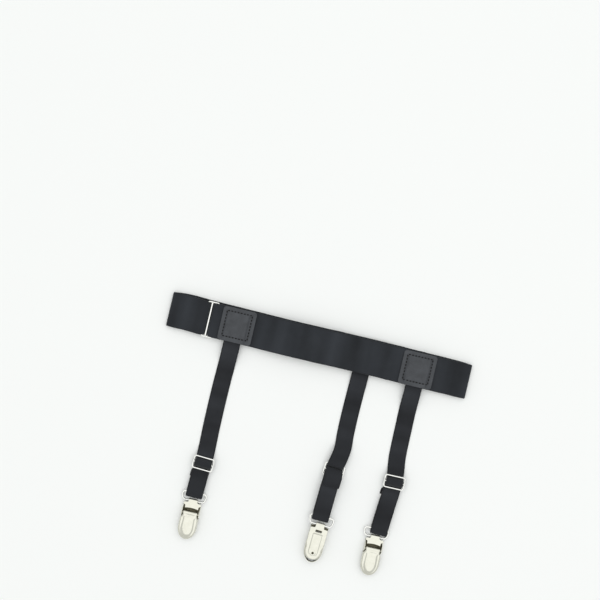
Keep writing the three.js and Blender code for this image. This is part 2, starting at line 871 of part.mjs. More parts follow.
// Plan outline of the lever, drawn in by an amount all round
function leverOutline(inset) {
  const neck = leverNeckWidth / 2 - inset;
  const wide = clipWidth / 2 - inset;
  const start = leverStart - leverShoulder;
  const widen = leverNeckEnd + inset;
  const tipStart = clipLength - leverTip;
  const tipLong = leverTip - inset;
  const outline = new THREE.Shape();
  outline.moveTo(start, -neck);
  outline.lineTo(widen, -neck);
  outline.lineTo(widen + leverShoulder, -wide);
  outline.lineTo(tipStart, -wide);
  outline.absellipse(tipStart, 0, tipLong, wide, -Math.PI / 2, Math.PI / 2, false, 0);
  outline.lineTo(widen + leverShoulder, wide);
  outline.lineTo(widen, neck);
  outline.lineTo(start, neck);
  outline.closePath();
  return outline;
}

// Solid of the lever's outside, or of the hollow under it
function leverBlock(inset) {
  const top = leverHeight - inset;
  const foot = leverFoot - 2 * inset;
  const block = new THREE.ExtrudeGeometry(leverOutline(inset + leverRound), {
    depth: top - foot - leverRound,
    bevelEnabled: true,
    bevelThickness: leverRound,
    bevelSize: leverRound,
    bevelSegments: 3,
    curveSegments: 9,
  });
  block.translate(0, 0, foot);
  return block;
}

function makeClipLever(hanger) {
  const outer = leverBlock(0);
  const hollow = leverBlock(clipSheet);
  const low = -clipWidth / 2;
  const below = boxBetween([0, -clipWidth, low], [2 * clipLength, clipWidth, leverFoot]);
  const behind = boxBetween([0, -clipWidth, low], [leverStart, clipWidth, 2 * leverHeight]);
  const underHeel = new THREE.Shape();
  underHeel.moveTo(0, low);
  underHeel.lineTo(pivotA, low);
  underHeel.lineTo(pivotA, pivotC - leverHeel);
  underHeel.absarc(pivotA, pivotC, leverHeel, -Math.PI / 2, -Math.PI, true);
  underHeel.lineTo(0, pivotC);
  underHeel.closePath();
  const heel = new THREE.ExtrudeGeometry(underHeel, {
    depth: 2 * clipWidth,
    bevelEnabled: false,
    curveSegments: 6,
  });
  heel.rotateX(Math.PI / 2).translate(0, clipWidth, 0);
  const pinRoot = leverNeckWidth / 2 - clipSheet;
  const pinEnd = (plateWidth - layerGap) / 2;
  const pins = [-1, 1].map((sideOf) =>
    rodAcross(pivotA, pivotC, sideOf * pinRoot, sideOf * pinEnd, pivotPin / 2, 8),
  );
  const shell = cutBy(outer, hollow, below, behind, heel);
  addPiece("clip_lever_" + hanger.name, placeClip(joined(shell, ...pins), hanger), "nickel");
}

makeThighBand();
makeBandSlide();
for (const hanger of hangers) {
  makePatch(hanger);
  makeStrap(hanger);
  makeSlide(hanger);
  makeRing(hanger);
  makeClipPlate(hanger);
  makeClipPad(hanger);
  makeClipLever(hanger);
}

// The middle of the part's own box, at floor level, is the origin
const bounds = new THREE.Box3().setFromObject(part);
const centre = bounds.getCenter(new THREE.Vector3());
part.position.set(-centre.x, -centre.y, -bounds.min.z);

export default part;
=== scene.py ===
import math
import bmesh
import bpy
from mathutils import Matrix, Vector, noise


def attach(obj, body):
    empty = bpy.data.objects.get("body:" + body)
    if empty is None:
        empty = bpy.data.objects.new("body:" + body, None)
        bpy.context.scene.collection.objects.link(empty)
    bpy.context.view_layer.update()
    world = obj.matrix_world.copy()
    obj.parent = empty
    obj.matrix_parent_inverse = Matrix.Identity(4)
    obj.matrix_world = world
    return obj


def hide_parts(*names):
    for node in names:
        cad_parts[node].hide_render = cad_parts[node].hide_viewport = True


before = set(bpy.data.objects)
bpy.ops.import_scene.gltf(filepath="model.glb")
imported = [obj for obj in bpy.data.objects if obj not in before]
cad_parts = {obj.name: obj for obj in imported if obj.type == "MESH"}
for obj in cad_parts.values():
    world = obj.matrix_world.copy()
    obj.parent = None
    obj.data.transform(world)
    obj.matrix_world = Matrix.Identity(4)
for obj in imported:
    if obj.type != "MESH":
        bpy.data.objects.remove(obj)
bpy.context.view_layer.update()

print("frame loaded")

# lengths are millimetres from the band's left fold and its middle line, and placed() makes metres of them
originShift = Vector((-132.49987, 86.67271, 0))
millimetre = 0.001


def placed(x, y, z):
    return (Vector((x, y, z)) + originShift) * millimetre


def placeAt(point):
    return Matrix.Scale(millimetre, 4) @ Matrix.Translation(originShift + Vector(point))


def linked(name, data):
    made = bpy.data.objects.new(name, data)
    bpy.context.collection.objects.link(made)
    return made


# camera straight above the photograph's middle, turned so that the band runs down to the right
view = {
    "middleX": 107.5, "middleY": 33.1, "turn": 13.2, "height": 900, "sensor": 36,
    "across": 516, "acrossAt": 4,
}

cameraData = bpy.data.cameras.new("camera")
cameraData.sensor_width = view["sensor"]
cameraData.lens = view["sensor"] * (view["height"] - view["acrossAt"]) / view["across"]
camera = linked("camera", cameraData)
camera.location = placed(view["middleX"], view["middleY"], view["height"])
camera.rotation_euler = (0, 0, math.radians(view["turn"]))
bpy.context.scene.camera = camera
bpy.context.scene.view_settings.view_transform = "Standard"


# curves and paths

def smoothStep(t):
    t = min(max(t, 0), 1)
    return t * t * (3 - 2 * t)


def blendOf(a, b, t):
    return a + (b - a) * t


def curveAt(rows, at, column=1):
    # smooth curve through a table's rows
    last = len(rows) - 1
    rising = 1 if rows[last][0] > rows[0][0] else -1
    i = 0
    while i < last - 1 and (at - rows[i + 1][0]) * rising > 0:
        i += 1

    def slope(k):
        a, b = rows[max(k - 1, 0)], rows[min(k + 1, last)]
        return (b[column] - a[column]) / (b[0] - a[0])

    span = rows[i + 1][0] - rows[i][0]
    t = min(max((at - rows[i][0]) / span, 0), 1)
    return ((2 * t ** 3 - 3 * t ** 2 + 1) * rows[i][column] + (t ** 3 - 2 * t ** 2 + t) * span * slope(i)
            + (3 * t ** 2 - 2 * t ** 3) * rows[i + 1][column] + (t ** 3 - t ** 2) * span * slope(i + 1))


def beltPath(wheels, arcStep=15):
    # path of a belt over wheels (s, n, radius, mark): a radius above 0 turns left, below 0 right;
    # a turn that comes out as nearly a full one is none
    fullTurn = 1.9 * math.pi
    ways = []
    for (s1, n1, r1, _), (s2, n2, r2, _) in zip(wheels, wheels[1:]):
        apart = math.hypot(s2 - s1, n2 - n1)
        ways.append(math.atan2(n2 - n1, s2 - s1) - math.asin((r2 - r1) / apart))
    points = []
    for i, (s, n, r, mark) in enumerate(wheels):
        into, out = ways[max(i - 1, 0)], ways[min(i, len(ways) - 1)]
        bend = math.atan2(math.sin(out - into), math.cos(out - into))
        turn = 0
        if r:
            turn = ((out - into) * math.copysign(1, r)) % (2 * math.pi)
            turn = 0 if turn > fullTurn else turn * math.copysign(1, r)
        steps = max(1, math.ceil(abs(math.degrees(turn)) / arcStep)) if turn else 0
        for k in range(steps + 1):
            way = into + turn * k / steps if steps else into + bend / 2
            points.append((s + r * math.sin(way), n - r * math.cos(way), mark))
    return points


def divided(points, longest):
    # the straight runs cut short enough to follow a curve in plan
    out = []
    for p, q in zip(points, points[1:]):
        out.append(p)
        cuts = math.ceil(math.hypot(q[0] - p[0], q[1] - p[1]) / longest)
        for k in range(1, cuts):
            out.append(tuple(blendOf(a, b, k / cuts) for a, b in zip(p, q)))
    return out + [points[-1]]


# shader maths

class Flow:
    def __init__(self, tree, out=None):
        self.tree, self.out = tree, out

    def node(self, kind, settings=None, inputs=None, output=0):
        made = self.tree.nodes.new(kind)
        for key, value in (settings or {}).items():
            setattr(made, key, value)
        for key, value in (inputs or {}).items():
            if isinstance(value, Flow):
                self.tree.links.new(value.out, made.inputs[key])
            else:
                made.inputs[key].default_value = value
        return Flow(self.tree, made.outputs[output])

    def maths(self, operation, *values):
        return self.node("ShaderNodeMath", {"operation": operation}, dict(enumerate(values)))

    def shaped(self, operation):
        return self.maths(operation, self)

    def __add__(self, other): return self.maths("ADD", self, other)
    def __radd__(self, other): return self.maths("ADD", other, self)
    def __sub__(self, other): return self.maths("SUBTRACT", self, other)
    def __rsub__(self, other): return self.maths("SUBTRACT", other, self)
    def __mul__(self, other): return self.maths("MULTIPLY", self, other)
    def __rmul__(self, other): return self.maths("MULTIPLY", other, self)
    def __truediv__(self, other): return self.maths("DIVIDE", self, other)
    def __abs__(self): return self.maths("ABSOLUTE", self)

    def part(self, axis):
        return self.node("ShaderNodeSeparateXYZ", inputs={0: self}, output="XYZ".index(axis))

    def mixed(self, low, high):
        # colour from low to high as this goes from 0 to 1
        return self.node("ShaderNodeMix", {"data_type": "RGBA"}, {0: self, 6: low, 7: high}, output=2)

    def clamped(self):
        return self.node("ShaderNodeClamp", inputs={0: self})

    def noise(self, where, scale, detail=3, rough=0.5):
        inputs = {"Vector": where, "Scale": scale, "Detail": detail, "Roughness": rough}
        return self.node("ShaderNodeTexNoise", inputs=inputs)

    def bump(self, height, distance, strength=1.0):
        inputs = {"Height": height, "Distance": distance, "Strength": strength}
        return self.node("ShaderNodeBump", inputs=inputs)


def newFinish(name):
    material = bpy.data.materials.new(name)
    material.use_nodes = True
    surface, flow = material.node_tree.nodes["Principled BSDF"], Flow(material.node_tree)
    return material, flow, surface, flow.node("ShaderNodeTexCoord", output=3)


def feed(flow, surface, **links):
    for key, value in links.items():
        socket = surface.inputs[key.replace("_", " ")]
        if isinstance(value, Flow):
            flow.tree.links.new(value.out, socket)
        else:
            socket.default_value = value


def grey(value, warm=0.0, cool=0.0):
    return (value * (1 + warm), value, value * (1 + cool), 1)


elasticLook = {
    "rib": 0.62, "pick": 0.5, "relief": 0.00012, "strength": 0.9,
    "clouds": 55, "fluff": 2600, "darkEdge": 1.1, "darkEdgeSoft": 0.3, "darkEdgeDepth": 0.45,
    "bands": 0.045, "waveShadeSlant": 0.2, "waveShadeShare": 1.9, "darker": 0.89,
    "rough": 0.86, "roughClouds": 0.16, "sheen": 0.12, "sheenRough": 0.45, "specular": 0.22,
}


def elasticFinish(name, valley, crown, halfWidth):
    # woven elastic: cords lengthwise, picks across that step half a pitch from cord to cord; its colour
    # carries painted shade in the weave's valleys and in broad bands along the length, and a darker strip
    # along each edge
    look = elasticLook
    material, flow, surface, where = newFinish(name)
    cloth = flow.node("ShaderNodeUVMap", {"uv_map": "cloth"})
    along, across = cloth.part("X"), cloth.part("Y")
    cord = across / look["rib"]
    row = cord.shaped("FLOOR")
    stepped = abs(row.maths("MODULO", row, 2)) * 0.5
    cordRound = abs((cord * math.pi).shaped("SINE"))
    pickRound = abs(((along / look["pick"] + stepped) * math.pi).shaped("SINE"))
    cloudy = flow.noise(where, look["clouds"], 3, 0.6)
    fluff = flow.noise(where, look["fluff"], 2, 0.6)
    height = cordRound * 0.55 + pickRound * 0.35 + fluff * 0.25
    # broad bands along the length, stretched across: painted shade of the band's gentle waves
    waveShadeAt = flow.node("ShaderNodeCombineXYZ", inputs={"X": along, "Y": across * look["waveShadeSlant"]})
    shade = flow.noise(waveShadeAt, look["bands"], 2, 0.4)
    # a strip along each edge is painted darker
    darkEdge = ((abs(across) - (halfWidth - look["darkEdge"])) / look["darkEdgeSoft"]).clamped()
    # the tone: the weave's valleys painted darker as shade and its crowns lighter, random clouds, and the
    # painted wave shade
    tone = height * 0.5 + cloudy * 0.3 + shade * look["waveShadeShare"] - look["darker"]
    tone = (tone * (1 - darkEdge * look["darkEdgeDepth"])).clamped()
    feed(flow, surface,
         Base_Color=tone.mixed(valley, crown),
         Roughness=look["rough"] - cloudy * look["roughClouds"],
         Normal=flow.bump(height, look["relief"], look["strength"]),
         Sheen_Weight=look["sheen"],
         Sheen_Roughness=look["sheenRough"],
         Specular_IOR_Level=look["specular"])
    return material


leatherLook = {
    "dark": grey(0.022, -0.07, 0.13), "light": grey(0.080, -0.07, 0.13), "pore": 1500, "clouds": 160,
    "fine": 3800, "grooveShadeDepth": 0.15, "rough": 0.42, "roughFine": 0.22, "relief": 0.00006, "specular": 0.35,
}


def leatherFinish():
    # smooth dark leather: fine pebble and soft clouds, with painted shade darkening the stitched groove
    look = leatherLook
    material, flow, surface, where = newFinish("patch leather")
    pebble = flow.node("ShaderNodeTexVoronoi", {"feature": "F1"}, {"Vector": where, "Scale": look["pore"]})
    cloudy = flow.noise(where, look["clouds"], 4, 0.55)
    fine = flow.noise(where, look["fine"], 3, 0.6)
    grooveShade = flow.node("ShaderNodeAttribute", {"attribute_name": "grooveShade"}, output="Fac")
    tone = cloudy * 0.75 + 0.05 + pebble * 0.25 - grooveShade * look["grooveShadeDepth"]
    feed(flow, surface,
         Base_Color=tone.clamped().mixed(look["dark"], look["light"]),
         Roughness=look["rough"] + fine * look["roughFine"],
         Normal=flow.bump(fine * 0.5 + pebble * 0.6, look["relief"], 0.7),
         Specular_IOR_Level=look["specular"])
    return material


threadLook = {
    "dark": grey(0.002), "light": grey(0.009), "twist": 3200, "slant": 0.8, "fuzz": 5000,
    "rough": 0.8, "roughStrand": 0.1, "relief": 0.00006, "specular": 0.2,
}


def threadFinish():
    # thread with slanting strands and a little fuzz
    look = threadLook
    material, flow, surface, where = newFinish("patch thread")
    twist = (where.part("X") + where.part("Y") * look["slant"]) * look["twist"]
    strand = abs(twist.shaped("SINE"))
    fuzz = flow.noise(where, look["fuzz"], 2, 0.6)
    tone = (strand * 0.7 + fuzz * 0.4).clamped()
    feed(flow, surface,
         Base_Color=tone.mixed(look["dark"], look["light"]),
         Roughness=look["rough"] - strand * look["roughStrand"],
         Normal=flow.bump(strand, look["relief"], 0.8),
         Specular_IOR_Level=look["specular"])
    return material


nickelLook = {"shade": (0.60, 0.592, 0.50, 1), "bright": (0.79, 0.782, 0.70, 1)}
# painted highlight: the wires' plating is a whiter copy of the clips' nickel, standing in for the highlights
# on the thin wire
wireHighlightLook = {"shade": (0.80, 0.798, 0.76, 1), "bright": (0.94, 0.938, 0.91, 1)}
# painted shade: dark olive colours for the clip's inside faces
insideShadeLook = {"shade": (0.09, 0.083, 0.055, 1), "bright": (0.24, 0.225, 0.155, 1), "spots": 900}
platingLook = {
    "broad": 240, "rubbed": 2400, "drawn": (6000, 260, 900), "rough": 0.07, "roughBroad": 0.12,
    "roughRubbed": 0.1, "relief": 0.00001, "strength": 0.35,
}


def nickelFinish(name, shade, bright):
    # bright plating: faint drawing lines, small dull spots
    look = platingLook
    material, flow, surface, where = newFinish(name)
    broad = flow.noise(where, look["broad"], 3, 0.5)
    rubbed = flow.noise(where, look["rubbed"], 4, 0.65)
    stretched = flow.node("ShaderNodeMapping", inputs={"Vector": where, "Scale": look["drawn"]})
    drawn = flow.noise(stretched, 1, 3, 0.6)
    tone = (broad * 0.7 + rubbed * 0.5).clamped()
    rough = (look["rough"] + broad * look["roughBroad"] + rubbed * look["roughRubbed"]).clamped()
    feed(flow, surface,
         Base_Color=tone.mixed(shade, bright),
         Roughness=rough,
         Normal=flow.bump(drawn * 0.6 + rubbed * 0.3, look["relief"], look["strength"]),
         Metallic=1)
    return material


def insideShadeFinish():
    # painted shade: the inside of the sheet drawn as a dark, dull, a little olive metal, standing in for the
    # shade inside the clip
    material, flow, surface, where = newFinish("inside of the plating, painted shade")
    spots = flow.noise(where, insideShadeLook["spots"], 4, 0.6)
    feed(flow, surface,
         Base_Color=spots.mixed(insideShadeLook["shade"], insideShadeLook["bright"]),
         Roughness=0.45 + spots * 0.2,
         Normal=flow.bump(spots, 0.00003, 0.4),
         Metallic=0.9)
    return material


clearLook = {
    "dim": (0.78, 0.80, 0.78, 1), "bright": (0.95, 0.96, 0.94, 1), "clouds": 700, "rough": 0.12,
    "roughClouds": 0.2, "relief": 0.00004, "letsThrough": 0.55, "refraction": 1.49,
}


def clearFinish():
    # clear moulded plastic, a little cloudy inside
    look = clearLook
    material, flow, surface, where = newFinish("clear plastic")
    cloudy = flow.noise(where, look["clouds"], 3, 0.5)
    feed(flow, surface,
         Base_Color=cloudy.mixed(look["dim"], look["bright"]),
         Roughness=look["rough"] + cloudy * look["roughClouds"],
         Normal=flow.bump(cloudy, look["relief"], 0.3),
         Transmission_Weight=look["letsThrough"],
         IOR=look["refraction"])
    return material


bandWidth = 30
strapWidth = 15
bandDark, bandLight = grey(0.009, -0.12, 0.22), grey(0.039, -0.12, 0.20)
strapDark, strapLight = grey(0.007, -0.08, 0.20), grey(0.031, -0.08, 0.18)
bandElastic = elasticFinish("band elastic", bandDark, bandLight, bandWidth / 2)
strapElastic = elasticFinish("strap elastic", strapDark, strapLight, strapWidth / 2)
leather = leatherFinish()
thread = threadFinish()
nickel = nickelFinish("nickel plating", nickelLook["shade"], nickelLook["bright"])
highlightedWireNickel = nickelFinish("wire plating, painted highlight", wireHighlightLook["shade"], wireHighlightLook["bright"])
insideShadeNickel = insideShadeFinish()
clearPlastic = clearFinish()
print("finishes made")


# making pieces

def nodeOf(name):
    # the CAD node that a piece stands for, such as clip_pad_left for clipPadLeft
    return "".join("_" + letter.lower() if letter.isupper() else letter for letter in name)


def newPiece(name, bm, material, body, isNode=True):
    mesh = bpy.data.meshes.new(name)
    bm.to_mesh(mesh)
    bm.free()
    mesh.materials.append(material)
    mesh.shade_smooth()
    piece = linked(name, mesh)
    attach(piece, body)
    if isNode:
        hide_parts(nodeOf(name))
    return piece


def addWall(piece, thick, offset=0.0, inside=0):
    wall = piece.modifiers.new("wall", "SOLIDIFY")
    wall.thickness, wall.offset = thick, offset
    wall.use_even_offset, wall.material_offset = False, inside


def addRounding(piece, levels):
    soft = piece.modifiers.new("rounding", "SUBSURF")
    soft.levels = soft.render_levels = levels


def addGrid(bm, cellsX, cellsY):
    # a unit grid, with each vertex's own column and row
    made = bmesh.ops.create_grid(bm, x_segments=cellsX, y_segments=cellsY, size=1)["verts"]
    return {v: (round((v.co.x + 1) / 2 * cellsX), round((v.co.y + 1) / 2 * cellsY)) for v in made}


def facing(bm, faces, towards):
    # turns the faces round where the first one looks away from a direction
    for face in faces:
        face.normal_update()
    if faces[0].normal.dot(Vector(towards)) < 0:
        bmesh.ops.reverse_faces(bm, faces=faces)


def stripPiece(name, stations, cells, thick, material):
    # a strip of elastic laid along stations, its cloth map in millimetres along and across
    length = 0
    for k, station in enumerate(stations):
        if k:
            length += (station["middle"] - stations[k - 1]["middle"]).length
        station["length"] = length
    bm = bmesh.new()
    cloth = bm.loops.layers.uv.new("cloth")
    cell = addGrid(bm, len(stations) - 1, cells)
    for face in bm.faces:
        for loop in face.loops:
            i, j = cell[loop.vert]
            share = 2 * j / cells - 1
            loop[cloth].uv = (stations[i]["length"], share * stations[i]["width"] / 2)
    for v in bm.verts:
        i, j = cell[v]
        station = stations[i]
        share = 2 * j / cells - 1
        v.co = placed(*(station["middle"] + station["across"] * (share * station["width"] / 2)))
    piece = newPiece(name, bm, material, "garter")
    addWall(piece, thick * millimetre)
    addRounding(piece, 1)


# thigh band

band = {
    "length": 265, "width": bandWidth, "thick": 1.2, "foldRadius": 1.5, "loopRadius": 1.6, "turnDown": 14,
    "settle": 4, "loopLeft": 31.6, "loopRight": 38.3, "clear": 0.3, "gather": 1.1, "gatherLong": 2.8,
    "step": 2.5, "cells": 14,
}
# how uneven the band lies: its edges, its middle line, and the upper layer's waves between two places
bandUneven = {
    "edge": 0.16, "edgeLong": 9, "sway": 0.1, "swayLong": 14,
    "wave": 0.22, "waveLong": 17, "waveStart": 70, "waveEnd": 262, "waveFade": 15,
}

# heights of the two layers, by share of the band's length
upperHeights = [
    (0.0, 3.6), (0.045, 3.8), (0.09, 4.6), (0.12, 5.3), (0.153, 5.3), (0.19, 4.6), (0.226, 4.1), (0.283, 4.6),
    (0.36, 7.2), (0.43, 8.0), (0.5, 7.8), (0.57, 6.6), (0.65, 5.7), (0.74, 5.2), (0.83, 4.6), (0.92, 4.1),
    (1.0, 3.6),
]
lowerHeights = [(0.0, 0.6), (0.53, 0.6), (0.59, 3.4), (0.715, 3.4), (0.775, 0.6), (1.0, 0.6)]
# share of the length, how far the upper layer lies off the middle line, and the lower layer off the upper one
bandWander = [
    (0.0, 0.0, 0.5), (0.06, 0.0, 1.4), (0.13, -0.8, 1.5), (0.23, -0.9, 1.2), (0.41, -1.4, 1.0),
    (0.66, -1.4, 1.1), (0.83, -2.2, 1.1), (0.95, -2.5, 0.9), (1.0, -2.7, 0.4),
]


def upperAt(x):
    return curveAt(upperHeights, x / band["length"])


def lowerAt(x):
    share = x / band["length"]
    i = 0
    while i < len(lowerHeights) - 2 and share > lowerHeights[i + 1][0]:
        i += 1
    (a, low), (b, high) = lowerHeights[i], lowerHeights[i + 1]
    return blendOf(low, high, smoothStep((share - a) / (b - a)))


def wanderAt(x):
    return curveAt(bandWander, x / band["length"])


def liftAt(x):
    return curveAt(bandWander, x / band["length"], 2)


bandSlideZ = band["thick"] * 1.5 + band["clear"] + band["loopRadius"]
bandSlide = {
    "middleX": 36.2, "bars": 9.0, "midBar": -1.25, "wide": 30.0, "corner": 1.2,
    "wire": 1.4, "outlineShare": 1.05, "midShare": 1.5, "midSteps": 24,
}


def nearLoop(x):
    # 1 where the band is gathered beside the slide's middle bar, 0 away from it
    toBar = x - band["loopLeft"] if x < bandSlide["middleX"] else band["loopRight"] - x
    return smoothStep((toBar - band["loopRadius"]) / band["gatherLong"] + 1)


def makeThighBand():
    foldIn = band["foldRadius"] + band["thick"] / 2
    foldZ = band["thick"] / 2 + band["foldRadius"]
    turnZ = band["thick"] * 1.5 + band["clear"]

    def layer(start, end, heightAt, mark):
        steps = math.ceil(abs(end - start) / band["step"])
        stops = [blendOf(start, end, k / steps) for k in range(steps + 1)]
        return [(s, heightAt(s), 0, mark) for s in stops]

    # from one turned-back end round both folds to the other; the mark is 0 on the upper layer, 1 on the lower
    settle = band["settle"]
    wheels = [(band["loopRight"] + band["turnDown"], turnZ, 0, 0)]
    wheels += [(band["loopRight"], bandSlideZ, -band["loopRadius"], 0)]
    wheels += layer(band["loopRight"] + settle, band["length"] - foldIn - settle, upperAt, 0)
    wheels += [(band["length"] - foldIn, foldZ, -band["foldRadius"], 0.5)]
    wheels += layer(band["length"] - foldIn - settle, foldIn + settle, lowerAt, 1)
    wheels += [(foldIn, foldZ, -band["foldRadius"], 0.5)]
    wheels += layer(foldIn + settle, band["loopLeft"] - settle, upperAt, 0)
    wheels += [(band["loopLeft"], bandSlideZ, -band["loopRadius"], 0)]
    wheels += [(band["loopLeft"] - band["turnDown"], turnZ, 0, 0)]
    uneven = bandUneven
    stations = []
    for s, n, mark in divided(beltPath(wheels), band["step"]):
        width = band["width"] - (0 if mark else 2 * band["gather"] * nearLoop(s))
        width += uneven["edge"] * noise.noise(Vector((s / uneven["edgeLong"], mark * 7, 0)))
        sway = uneven["sway"] * noise.noise(Vector((s / uneven["swayLong"], 9, mark)))
        wave = uneven["wave"] * noise.noise(Vector((s / uneven["waveLong"], 3.1, mark * 5))) * (1 - mark)
        wave *= smoothStep((s - uneven["waveStart"]) / uneven["waveFade"])
        wave *= smoothStep((uneven["waveEnd"] - s) / uneven["waveFade"])
        middle = Vector((s, wanderAt(s) + liftAt(s) * mark + sway, n + wave))
        stations.append({"middle": middle, "across": Vector((0, 1, 0)), "width": width})
    stripPiece("thighBand", stations, band["cells"], band["thick"], bandElastic)


makeThighBand()
print("thigh band laid")


# wire work

wireMaking = {"roundness": 5, "cornerSteps": 8, "weld": 1e-4}


def wirePiece(name, runs, wire, transform):
    # each run has its points, whether it closes, and its share of the wire's size; it is drawn as round wire
    # in the whiter wire plating, whose extra whiteness is a painted highlight
    curve = bpy.data.curves.new(name, "CURVE")
    curve.dimensions, curve.bevel_depth = "3D", wire / 2
    curve.bevel_resolution, curve.use_fill_caps = wireMaking["roundness"], True
    for points, closed, share in runs:
        spline = curve.splines.new("POLY")
        spline.points.add(len(points) - 1)
        for point, co in zip(spline.points, points):
            point.co, point.radius = (*co, 1), share
        spline.use_cyclic_u = closed
    drawn = linked(name + " drawn", curve)
    bpy.context.view_layer.update()
    made = bpy.data.meshes.new_from_object(drawn)
    bm = bmesh.new()
    bm.from_mesh(made)
    bpy.data.objects.remove(drawn)
    bpy.data.curves.remove(curve)
    bpy.data.meshes.remove(made)
    bmesh.ops.remove_doubles(bm, verts=bm.verts, dist=wireMaking["weld"])
    bmesh.ops.recalc_face_normals(bm, faces=bm.faces)
    bm.transform(transform)
    newPiece(name, bm, highlightedWireNickel, "garter")


def frameRun(size):
    # closed run round (0, 0): bars along X, corners rounded; the near bar can be narrower
    corner, narrowing, steps = size["corner"], size.get("narrowing", 0), wireMaking["cornerSteps"]
    nearCorner, halfBar, halfSide = size.get("nearCorner", corner), size["bars"] / 2, size["wide"] / 2
    centres = [(halfSide - corner, halfBar - corner, corner), (-halfSide + corner, halfBar - corner, corner),
               (-halfSide + nearCorner + narrowing, -halfBar + nearCorner, nearCorner),
               (halfSide - nearCorner - narrowing, -halfBar + nearCorner, nearCorner)]
    points = []
    for quarter, (x, y, r) in enumerate(centres):
        for k in range(steps + 1):
            angle = (quarter + k / steps) * math.pi / 2
            points.append((x + r * math.cos(angle), y + r * math.sin(angle), 0))
    return points


def barRun(long, y, steps):
    return [(long * (k / steps - 0.5), y, 0) for k in range(steps + 1)]


def makeBandSlide():
    outline = frameRun(bandSlide)
    bar = barRun(bandSlide["wide"], bandSlide["midBar"], bandSlide["midSteps"])
    middle = (bandSlide["middleX"], wanderAt(bandSlide["middleX"]), bandSlideZ)
    place = placeAt(middle) @ Matrix.Rotation(-math.pi / 2, 4, "Z")
    runs = [(outline, True, bandSlide["outlineShare"]), (bar, False, bandSlide["midShare"])]
    wirePiece("bandSlide", runs, bandSlide["wire"], place)


makeBandSlide()
print("band slide made")


# straps and what they carry

strap = {
    "width": strapWidth, "thick": 1.0, "inSlide": 14.9, "inRing": 14.5, "tail": 8.5, "ramp": 24, "lead": 15,
    "tailStep": 3, "layerGap": 0.3, "clear": 0.3, "narrowReach": 3.4, "narrowLong": 2.6, "ringLong": 4,
    "middleFold": 3.9, "barReach": 4, "offFloor": 3.2, "offFloorLong": 0.6, "uneven": 0.12, "unevenLong": 6,
    "ringClear": 0.39, "step": 1.8, "cells": 8,
}
slideSize = {"wire": 1.4, "bars": 10.4, "wide": 16.9, "corner": 1.6, "outlineShare": 1.07, "barSteps": 16}
ringSize = {"wire": 1.6, "bars": 7.2, "wide": 20.6, "corner": 2.2, "nearCorner": 3.0, "narrowing": 0.4}
patch = {"size": 29.6, "thick": 1.2, "corner": 3, "soft": 2.6}

# each strap with its patch, slide, ring and clip: out is 1 above the band and -1 under it, way is (y, x)
hangers = [
    {"name": "Left", "out": 1, "patchX": 60.1, "slideY": -122.7, "foldY": -153.7,
     "ringX": 57.5, "barY": -156.5, "clipTurn": 0.4, "tailShift": -1.0,
     "way": [(13, 59.2), (-16, 59.1), (-53, 58.1), (-87, 58.0), (-112, 58.6), (-122.7, 58.6), (-132, 57.8),
             (-154, 57.1), (-200, 56.8)]},
    {"name": "Middle", "out": -1, "patchX": 172.9, "slideY": -103.2, "foldY": -148.0,
     "ringX": 168.6, "barY": -150.8, "clipTurn": -2.6, "tailShift": 1.0,
     "way": [(13, 172.8), (-16, 172.7), (-53, 172.0), (-72, 172.2), (-82, 172.7), (-91, 171.4), (-98, 169.9),
             (-103.2, 169.4), (-110, 169.0), (-121, 168.3), (-148, 167.3), (-200, 166.2)]},
    {"name": "Right", "out": 1, "patchX": 219.5, "slideY": -100.9, "foldY": -148.6,
     "ringX": 217.2, "barY": -150.9, "clipTurn": 0.8, "tailShift": -1.6,
     "way": [(13, 219.5), (-18, 219.4), (-53, 219.7), (-79, 220.2), (-91, 221.5), (-100.9, 222.2),
             (-110, 221.7), (-121, 220.7), (-149, 218.9), (-200, 217.0)]},
]

strapTurn = slideSize["wire"] / 2 + strap["layerGap"] + strap["thick"] / 2
strapLayer = strap["thick"] + strap["layerGap"]
slideRise = strap["thick"] / 2 + 2 * strapLayer + strapTurn
foldTurn = ringSize["wire"] / 2 + strap["ringClear"] + strap["thick"] / 2
slideOuter = slideRise + strapTurn + strapLayer + strap["thick"] / 2


def wayAt(hanger, y):
    return curveAt(hanger["way"], y)


def faceAt(hanger, x):
    # height of the band's face that the strap lies on
    heightAt = upperAt if hanger["out"] > 0 else lowerAt
    return heightAt(x) + hanger["out"] * band["thick"] / 2


def seatOf(hanger):
    faces = [faceAt(hanger, wayAt(hanger, 0) + share * strap["width"]) for share in (-0.6, -0.3, 0, 0.3, 0.6)]
    return (max if hanger["out"] > 0 else min)(faces) + hanger["out"] * strap["clear"]


def strapBase(hanger, y):
    # height of the strap's inner face, from its seat on the band to the floor, or to the middle ring
    edge = wanderAt(hanger["patchX"]) - band["width"] / 2 - strap["clear"]
    offBand = smoothStep((edge - y) / strap["ramp"])
    if hanger["out"] > 0:
        return blendOf(seatOf(hanger), 0, offBand)
    lying = blendOf(seatOf(hanger), strap["thick"], offBand)
    towardsSlide = smoothStep((hanger["slideY"] + strap["ramp"] + slideSize["bars"] / 2 - y) / strap["ramp"])
    pastSlide = smoothStep((hanger["slideY"] - slideSize["bars"] - y) / strap["ramp"])
    atSlide = blendOf(lying, slideOuter, towardsSlide)
    return blendOf(atSlide, strap["middleFold"] + foldTurn + strap["thick"] / 2, pastSlide)


def strapWay(hanger, y, over):
    return Vector((wayAt(hanger, y - over / 2) - wayAt(hanger, y + over / 2), -over, 0)).normalized()


def strapPoint(hanger, y, n):
    return Vector((wayAt(hanger, y), y, strapBase(hanger, y) + hanger["out"] * n))


